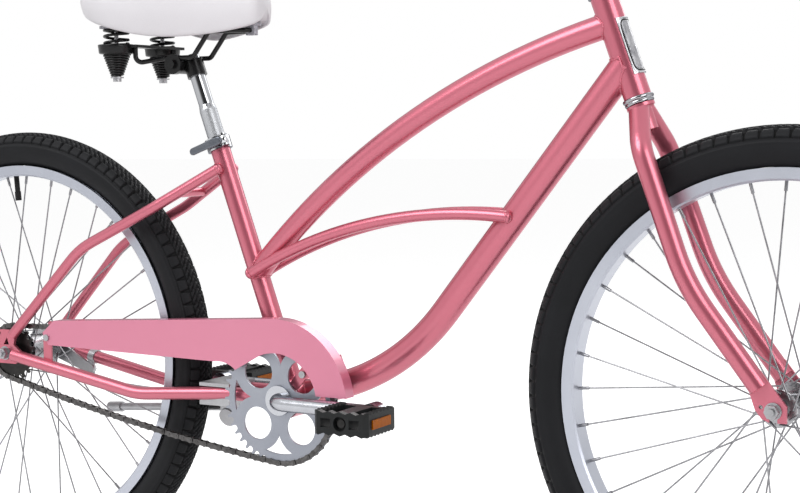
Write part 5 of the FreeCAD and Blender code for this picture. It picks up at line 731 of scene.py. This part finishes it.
def ribbed_grip(name, start, along):
    """Turned grip, bored for the bar: rounded flange, rings of ribs along the body and a domed end.

    Radius = body + flange + height (1 - cos)/2 of the place along the grip, times a quarter ellipse at
    the end.
    """
    s = np.linspace(GRIP_START, GRIP_LENGTH, GRIP_STEPS)
    flange = smooth_step(*FLANGE_RISE, s) * smooth_step(*FLANGE_FALL, s)
    ribbed = smooth_step(*RIBS_RISE, s) * smooth_step(*RIBS_FALL, s)
    ribs = RIB_HEIGHT * (0.5 - 0.5 * np.cos(2 * np.pi * s / RIB_PITCH)) * ribbed
    round_end = np.clip((GRIP_LENGTH - s) / GRIP_ROUNDING, 0, 1)
    radius = (GRIP_BODY + ribs + (GRIP_FLANGE - GRIP_BODY) * flange) * np.sqrt(round_end * (2 - round_end))
    bore = np.array([(GRIP_FLOOR, 0.0), (GRIP_FLOOR, GRIP_BORE), (0.0, GRIP_BORE), (0.0, GRIP_MOUTH)])
    return put_turned(name, start, along, np.concatenate([bore, np.stack([s, radius], axis=1)]))


grip_points = mesh_points(NODES["grips"].data)
for side, word in ((-1, "right"), (1, "left")):
    near = grip_points[grip_points[:, 1] * side > 0]
    middle = near.mean(axis=0)
    along = np.linalg.svd(near - middle, full_matrices=False)[2][0]
    along = along * np.sign(along[1] * side)
    start = middle + along * ((near - middle) @ along).min()
    rubber = ribbed_grip(f"grip_{word}", start, along)
    rubber.data.materials.append(GRIP)
    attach(rubber, "steering")
    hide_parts("grips")


# Frame welds and tube ends

WELD_RADIUS = 0.0014
WELD_RIPPLE = 0.0024
RIPPLE_SHARE = 0.14
RIPPLE_STEPS = 6
WELD_SIDES = 12
BRACKET = np.array([-0.104715, 0.0, 0.297])
HEAD_LOW = np.array([0.407194, 0.0, 0.709233])
HEAD_AXIS = SEAT_AXIS
ACROSS = np.array([0.0, 1.0, 0.0])
# Tube's place and way from the wall, its radius, then the wall's place, axis and radius, in metres
WELDS = {
    "top_tube_seat": ((-0.166438, 0, 0.470339), (0.66456, 0, 0.74723), 0.0159, BRACKET, SEAT_AXIS, 0.0143),
    "top_tube_head": ((0.374320, 0, 0.801554), (-0.9676, 0, -0.25248), 0.0159, HEAD_LOW, HEAD_AXIS, 0.0175),
    "down_tube_head": ((0.392300, 0, 0.751060), (-0.62273, 0, -0.78243), 0.0191, HEAD_LOW, HEAD_AXIS, 0.0175),
    "down_tube_shell": (BRACKET, (0.96509, 0, 0.26192), 0.0191, BRACKET, ACROSS, 0.028),
    "seat_tube_shell": (BRACKET, SEAT_AXIS, 0.0143, BRACKET, ACROSS, 0.028),
    "chainstay_right": ((-0.104715, -0.024, 0.297), (-0.99982, -0.01886, 0), 0.0095, BRACKET, ACROSS, 0.028),
    "chainstay_left": ((-0.104715, 0.024, 0.297), (-0.99982, 0.01886, 0), 0.0095, BRACKET, ACROSS, 0.028),
}


def weld_bead(name, place, way, radius, wall_place, wall_axis, wall_radius):
    """Rippled bead on the line where a tube meets a round wall.

    Line: p(v) = place + radius (cos v a + sin v b) + s way, where s is the larger root that puts p at the
    wall's radius from its axis. The bead is a ring about that line whose radius ripples along it.
    """
    place = np.array(place, dtype=float)
    way = np.array(way, dtype=float)
    first = np.cross(way, ACROSS)
    first = first / np.linalg.norm(first)
    second = np.cross(way, first)
    ripples = int(2 * np.pi * radius / WELD_RIPPLE)
    v = np.linspace(0, 2 * np.pi, RIPPLE_STEPS * ripples, endpoint=False)[:, None]
    outward = np.cos(v) * first + np.sin(v) * second
    from_axis = place + radius * outward - wall_place
    from_axis = from_axis - (from_axis @ wall_axis)[:, None] * wall_axis
    slant = way - (way @ wall_axis) * wall_axis
    half = from_axis @ slant
    steep = slant @ slant
    inside = np.maximum(half ** 2 - steep * ((from_axis ** 2).sum(axis=1) - wall_radius ** 2), 0)
    run = (np.sqrt(inside) - half) / steep
    line = place + radius * outward + run[:, None] * way
    size = WELD_RADIUS * (1 + RIPPLE_SHARE * np.cos(ripples * v))
    points = line[:, None, :] + size[:, :, None] * rings_about(loop_way(line), outward, WELD_SIDES)
    return put_grid(name, points, closed_round=True, closed_along=True)


for word, joint in WELDS.items():
    bead = weld_bead(f"weld_{word}", *joint)
    bead.data.materials.append(PINK)
    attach(bead, "frame")

CAP_DEPTH = 0.0050
CAP_RADIUS = 0.0080
CAP_STEPS = 24
# Distance along the tube and radius of the small bead at a plug's foot
CAP_FOOT = np.array([(-0.0030, 0.0), (-0.0030, 0.0080), (-0.0022, 0.0088), (-0.0008, 0.0089), (0.0, 0.0083)])
# Ends of the slim tubes: place on the right side and way out of the tube
TUBE_ENDS = {
    "mid_tube_rear": ((-0.166438, -0.0224, 0.470339), (-0.86817, 0, -0.49626)),
    "mid_tube_front": ((0.238485, -0.0211, 0.557799), (0.9956, 0, -0.0937)),
    "seatstay_top": ((-0.219607, -0.0183, 0.619655), (0.85512, 0.19581, 0.48003)),
}


def tube_cap(name, place, way):
    """Domed plug on a tube's end: a quarter ellipse turned about the tube's line, with a bead at its foot."""
    t = np.linspace(0, np.pi / 2, CAP_STEPS)
    dome = np.stack([CAP_DEPTH * np.sin(t), CAP_RADIUS * np.cos(t)], axis=1)
    return put_turned(name, place, way, np.concatenate([CAP_FOOT, dome]), sides=40)


for word, (place, way) in TUBE_ENDS.items():
    for side, hand in ((1, "right"), (-1, "left")):
        mirror = np.array([1.0, side, 1.0])
        plug = tube_cap(f"{word}_cap_{hand}", np.array(place) * mirror, np.array(way) * mirror)
        plug.data.materials.append(PINK)
        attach(plug, "frame")


# Seat lever

LEVER_PIVOT = np.array([-0.211787, -0.014913, 0.661184])
LEVER_BESIDE = -0.0219
LEVER_LENGTH = 0.058
LEVER_END = 0.006
LEVER_HALF_HEIGHT = 0.0060
LEVER_HALF_THICK = 0.0026
LEVER_BOW = 0.0010
LEVER_NARROWING = 0.12
LEVER_THINNING = 0.4
LEVER_NECK = (0.2, 0.6)
LEVER_GRID = (72, 40)


def lever_arm():
    """Flat lever: a rounded oblong section carried back along the collar, its height closing round both ends.

    Section = (t |cos|^1/2, h |sin|^1/2) with signs kept; h follows a quarter circle at each end, and t a
    power of the same.
    """
    s = np.linspace(0, 1, LEVER_GRID[0])[:, None]
    v = np.linspace(0, 2 * np.pi, LEVER_GRID[1], endpoint=False)[None, :]
    run = LEVER_LENGTH * s
    end = np.clip(np.minimum(run, LEVER_LENGTH - run) / LEVER_END, 0, 1)
    rounding = np.sqrt(end * (2 - end))
    height = LEVER_HALF_HEIGHT * rounding * (1 - LEVER_NARROWING * smooth_step(*LEVER_NECK, s))
    thick = LEVER_HALF_THICK * rounding ** LEVER_THINNING
    y = LEVER_BESIDE - LEVER_BOW * np.sin(np.pi * s) + thick * signed_root(np.cos(v), 0.5)
    up = height * signed_root(np.sin(v), 0.5)
    front = LEVER_PIVOT * np.array([1.0, 0.0, 1.0])
    points = front - run[..., None] * SEAT_FRONT + y[..., None] * ACROSS + up[..., None] * SEAT_AXIS
    return put_grid("seat_lever_arm", points, closed_round=True)


BOSS_PROFILE = np.array([
    (-0.0060, 0.0), (-0.0060, 0.0050), (-0.0050, 0.0060), (0.0050, 0.0060), (0.0060, 0.0050), (0.0060, 0.0),
])
arm = lever_arm()
boss = put_turned("seat_lever_boss", LEVER_PIVOT, SEAT_AXIS, BOSS_PROFILE, sides=40)
for part, material in ((arm, LEVER), (boss, CHROME)):
    part.data.materials.append(material)
    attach(part, "seat_lever")
    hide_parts("seat_lever")


# Headset cups

HEAD_LENGTH = 0.134
# Distance out of the head tube and radius of a pressed cup: bore, skirt, rolled flange, groove and lower rim
HEADSET_PROFILE = np.array([
    (-0.0120, 0.0132), (-0.0120, 0.0150), (0.0000, 0.0150), (0.0000, 0.0180), (0.0005, 0.0192),
    (0.0014, 0.0199), (0.0026, 0.0200), (0.0038, 0.0198), (0.0046, 0.0191), (0.0050, 0.0184),
    (0.0056, 0.0182), (0.0062, 0.0186), (0.0070, 0.0189), (0.0082, 0.0188), (0.0092, 0.0183),
    (0.0099, 0.0174), (0.0100, 0.0164), (0.0100, 0.0132), (-0.0120, 0.0132),
])
for word, place, way in (
    ("lower", HEAD_LOW, -HEAD_AXIS), ("upper", HEAD_LOW + HEAD_LENGTH * HEAD_AXIS, HEAD_AXIS),
):
    cup = put_turned(f"headset_cup_{word}", place, way, HEADSET_PROFILE, sides=96)
    cup.data.materials.append(HEADSET)
    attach(cup, "frame")
    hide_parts("headset_cups")


# Head badge border

HEAD_FRONT = SEAT_FRONT
BADGE_HEIGHT = 0.063
BADGE_MIDDLE = HEAD_LOW + BADGE_HEIGHT * HEAD_AXIS
BADGE_FACE = 0.0189
BADGE_STEPS = 160
BADGE_SIDES = 10


def badge_ring(name, half_height, half_angle, radius):
    """Closed raised line on the badge's curved face, a rounded oblong laid on the face's cylinder.

    Height = H |sin|^1/3 and angle = A |cos|^1/3 with signs kept.
    """
    v = np.linspace(0, 2 * np.pi, BADGE_STEPS, endpoint=False)[:, None]
    height = half_height * signed_root(np.sin(v), 1 / 3)
    angle = half_angle * signed_root(np.cos(v), 1 / 3)
    outward = np.cos(angle) * HEAD_FRONT + np.sin(angle) * ACROSS
    line = BADGE_MIDDLE + height * HEAD_AXIS + BADGE_FACE * outward
    points = line[:, None, :] + radius * rings_about(loop_way(line), outward, BADGE_SIDES)
    return put_grid(name, points, closed_round=True, closed_along=True)


# Half height, half angle and line radius of each border, with its finish
BADGE_BORDERS = {
    "rim": (0.0362, 0.90, 0.0009, CHROME),
    "line": (0.0332, 0.78, 0.0010, BLACK),
    "inner": (0.0306, 0.68, 0.0005, BADGE),
}
for word, (half_height, half_angle, radius, material) in BADGE_BORDERS.items():
    border = badge_ring(f"badge_{word}", half_height, half_angle, radius)
    border.data.materials.append(material)
    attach(border, "frame")


# Camera, light and floor

CAMERA_PLACE = (1.120969, -1.887665, 0.672375)
CAMERA_YAW = 0.5097
CAMERA_PITCH = 0.0732
CAMERA_ROLL = 0.0109
FOCAL_PIXELS = 1596.5579
PHOTO_PIXELS = 800.0
SENSOR_WIDTH = 36.0
# Name, place, target, side and power of each square lamp
LAMPS = (
    ("key_panel", (-1.2, -2.6, 3.2), (0.0, 0.0, 0.5), 2.4, 95.0),
    ("front_panel", (3.4, -1.6, 2.0), (0.2, 0.0, 0.5), 2.2, 60.0),
    ("back_panel", (0.0, 3.0, 2.6), (0.0, 0.0, 0.5), 2.6, 60.0),
)
WHITE = (1.0, 1.0, 1.0, 1.0)
ROOM_LIGHT = 0.40
FLOOR_HALF = 30.0
FLOOR_GREY = (0.62, 0.62, 0.62, 1.0)
FLOOR_ROUGH = 0.9
FLOOR_GLOW = 0.68
UNLIT_SIDE = (0.509, -0.859, 0.05)
# Cosines from the unlit side between which reflections change, and the lowest level there
UNLIT_EDGE = (0.55, 0.92)
UNLIT_LEVEL = 0.06
FAR_EDGE = (-0.96, -0.72)
FAR_LEVEL = 0.28


def photo_camera():
    """Camera fitted to the photograph's wheels; its axes come from its yaw, pitch and roll."""
    level = math.cos(CAMERA_PITCH)
    ahead = Vector((-math.sin(CAMERA_YAW) * level, math.cos(CAMERA_YAW) * level, -math.sin(CAMERA_PITCH)))
    right = Vector((math.cos(CAMERA_YAW), math.sin(CAMERA_YAW), 0))
    down = ahead.cross(right)
    across = right * math.cos(CAMERA_ROLL) + down * math.sin(CAMERA_ROLL)
    below = down * math.cos(CAMERA_ROLL) - right * math.sin(CAMERA_ROLL)
    lens = bpy.data.cameras.new("photo_view")
    lens.sensor_fit = "HORIZONTAL"
    lens.sensor_width = SENSOR_WIDTH
    lens.lens = FOCAL_PIXELS * SENSOR_WIDTH / PHOTO_PIXELS
    lens.clip_end = 100.0
    camera = bpy.data.objects.new("photo_view", lens)
    turn = Matrix((across, -below, -ahead)).transposed().to_4x4()
    camera.matrix_world = Matrix.Translation(CAMERA_PLACE) @ turn
    bpy.context.scene.collection.objects.link(camera)
    bpy.context.scene.camera = camera


def studio():
    """Soft lamps, a pale room and a pale floor."""
    for name, place, target, side, power in LAMPS:
        light = bpy.data.lights.new(name, "AREA")
        light.size = side
        light.energy = power
        lamp = bpy.data.objects.new(name, light)
        lamp.location = place
        lamp.rotation_euler = (Vector(target) - Vector(place)).to_track_quat("-Z", "Y").to_euler()
        bpy.context.scene.collection.objects.link(lamp)

    world = bpy.data.worlds.new("pale_room")
    bpy.context.scene.world = world
    world.use_nodes = True
    tree = world.node_tree
    back = tree.nodes["Background"]
    back.inputs["Color"].default_value = WHITE
    level = add_node(tree, "ShaderNodeMath", {
        0: seen_directly(tree, ROOM_LIGHT, 1.0), 1: dark_side(tree),
    }, operation="MULTIPLY")
    tree.links.new(level.outputs["Value"], back.inputs["Strength"])

    floor = put_grid("floor", FLOOR_HALF * np.array([
        [(-1.0, -1.0, 0.0), (1.0, -1.0, 0.0)], [(-1.0, 1.0, 0.0), (1.0, 1.0, 0.0)],
    ]))
    material = bpy.data.materials.new("pale_floor")
    material.use_nodes = True
    tree = material.node_tree
    shader = tree.nodes["Principled BSDF"]
    shader.inputs["Base Color"].default_value = FLOOR_GREY
    shader.inputs["Roughness"].default_value = FLOOR_ROUGH
    shader.inputs["Emission Color"].default_value = WHITE
    tree.links.new(seen_directly(tree, 0.0, FLOOR_GLOW), shader.inputs["Emission Strength"])
    floor.data.materials.append(material)
    bpy.context.scene.view_settings.view_transform = "Standard"


def seen_directly(tree, unseen, seen):
    """Socket with one value for camera, glossy and transmission rays and another for the rest."""
    path = add_node(tree, "ShaderNodeLightPath")
    either = add_node(tree, "ShaderNodeMath", {
        0: path.outputs["Is Camera Ray"], 1: path.outputs["Is Glossy Ray"],
    }, operation="MAXIMUM")
    any_ray = add_node(tree, "ShaderNodeMath", {
        0: either.outputs["Value"], 1: path.outputs["Is Transmission Ray"],
    }, operation="MAXIMUM")
    mapped = add_node(tree, "ShaderNodeMapRange", {
        "Value": any_ray.outputs["Value"], "To Min": unseen, "To Max": seen,
    })
    return mapped.outputs["Result"]


def dark_side(tree):
    """Socket that is low for glossy rays into the room's unlit front and dim far end, and 1 for the rest."""
    way = add_node(tree, "ShaderNodeTexCoord")
    facing = add_node(tree, "ShaderNodeVectorMath", {
        0: way.outputs["Generated"], 1: UNLIT_SIDE,
    }, operation="DOT_PRODUCT")
    shade = add_node(tree, "ShaderNodeMapRange", {
        "Value": facing.outputs["Value"], "From Min": UNLIT_EDGE[0], "From Max": UNLIT_EDGE[1],
        "To Min": 1.0, "To Max": UNLIT_LEVEL,
    }, interpolation_type="SMOOTHSTEP")
    behind = add_node(tree, "ShaderNodeMapRange", {
        "Value": facing.outputs["Value"], "From Min": FAR_EDGE[0], "From Max": FAR_EDGE[1],
        "To Min": FAR_LEVEL, "To Max": 1.0,
    }, interpolation_type="SMOOTHSTEP")
    sides = add_node(tree, "ShaderNodeMath", {
        0: shade.outputs["Result"], 1: behind.outputs["Result"],
    }, operation="MULTIPLY")
    path = add_node(tree, "ShaderNodeLightPath")
    other = add_node(tree, "ShaderNodeMath", {0: 1.0, 1: path.outputs["Is Glossy Ray"]}, operation="SUBTRACT")
    level = add_node(tree, "ShaderNodeMath", {
        0: sides.outputs["Value"], 1: other.outputs["Value"],
    }, operation="MAXIMUM")
    return level.outputs["Value"]


photo_camera()
studio()
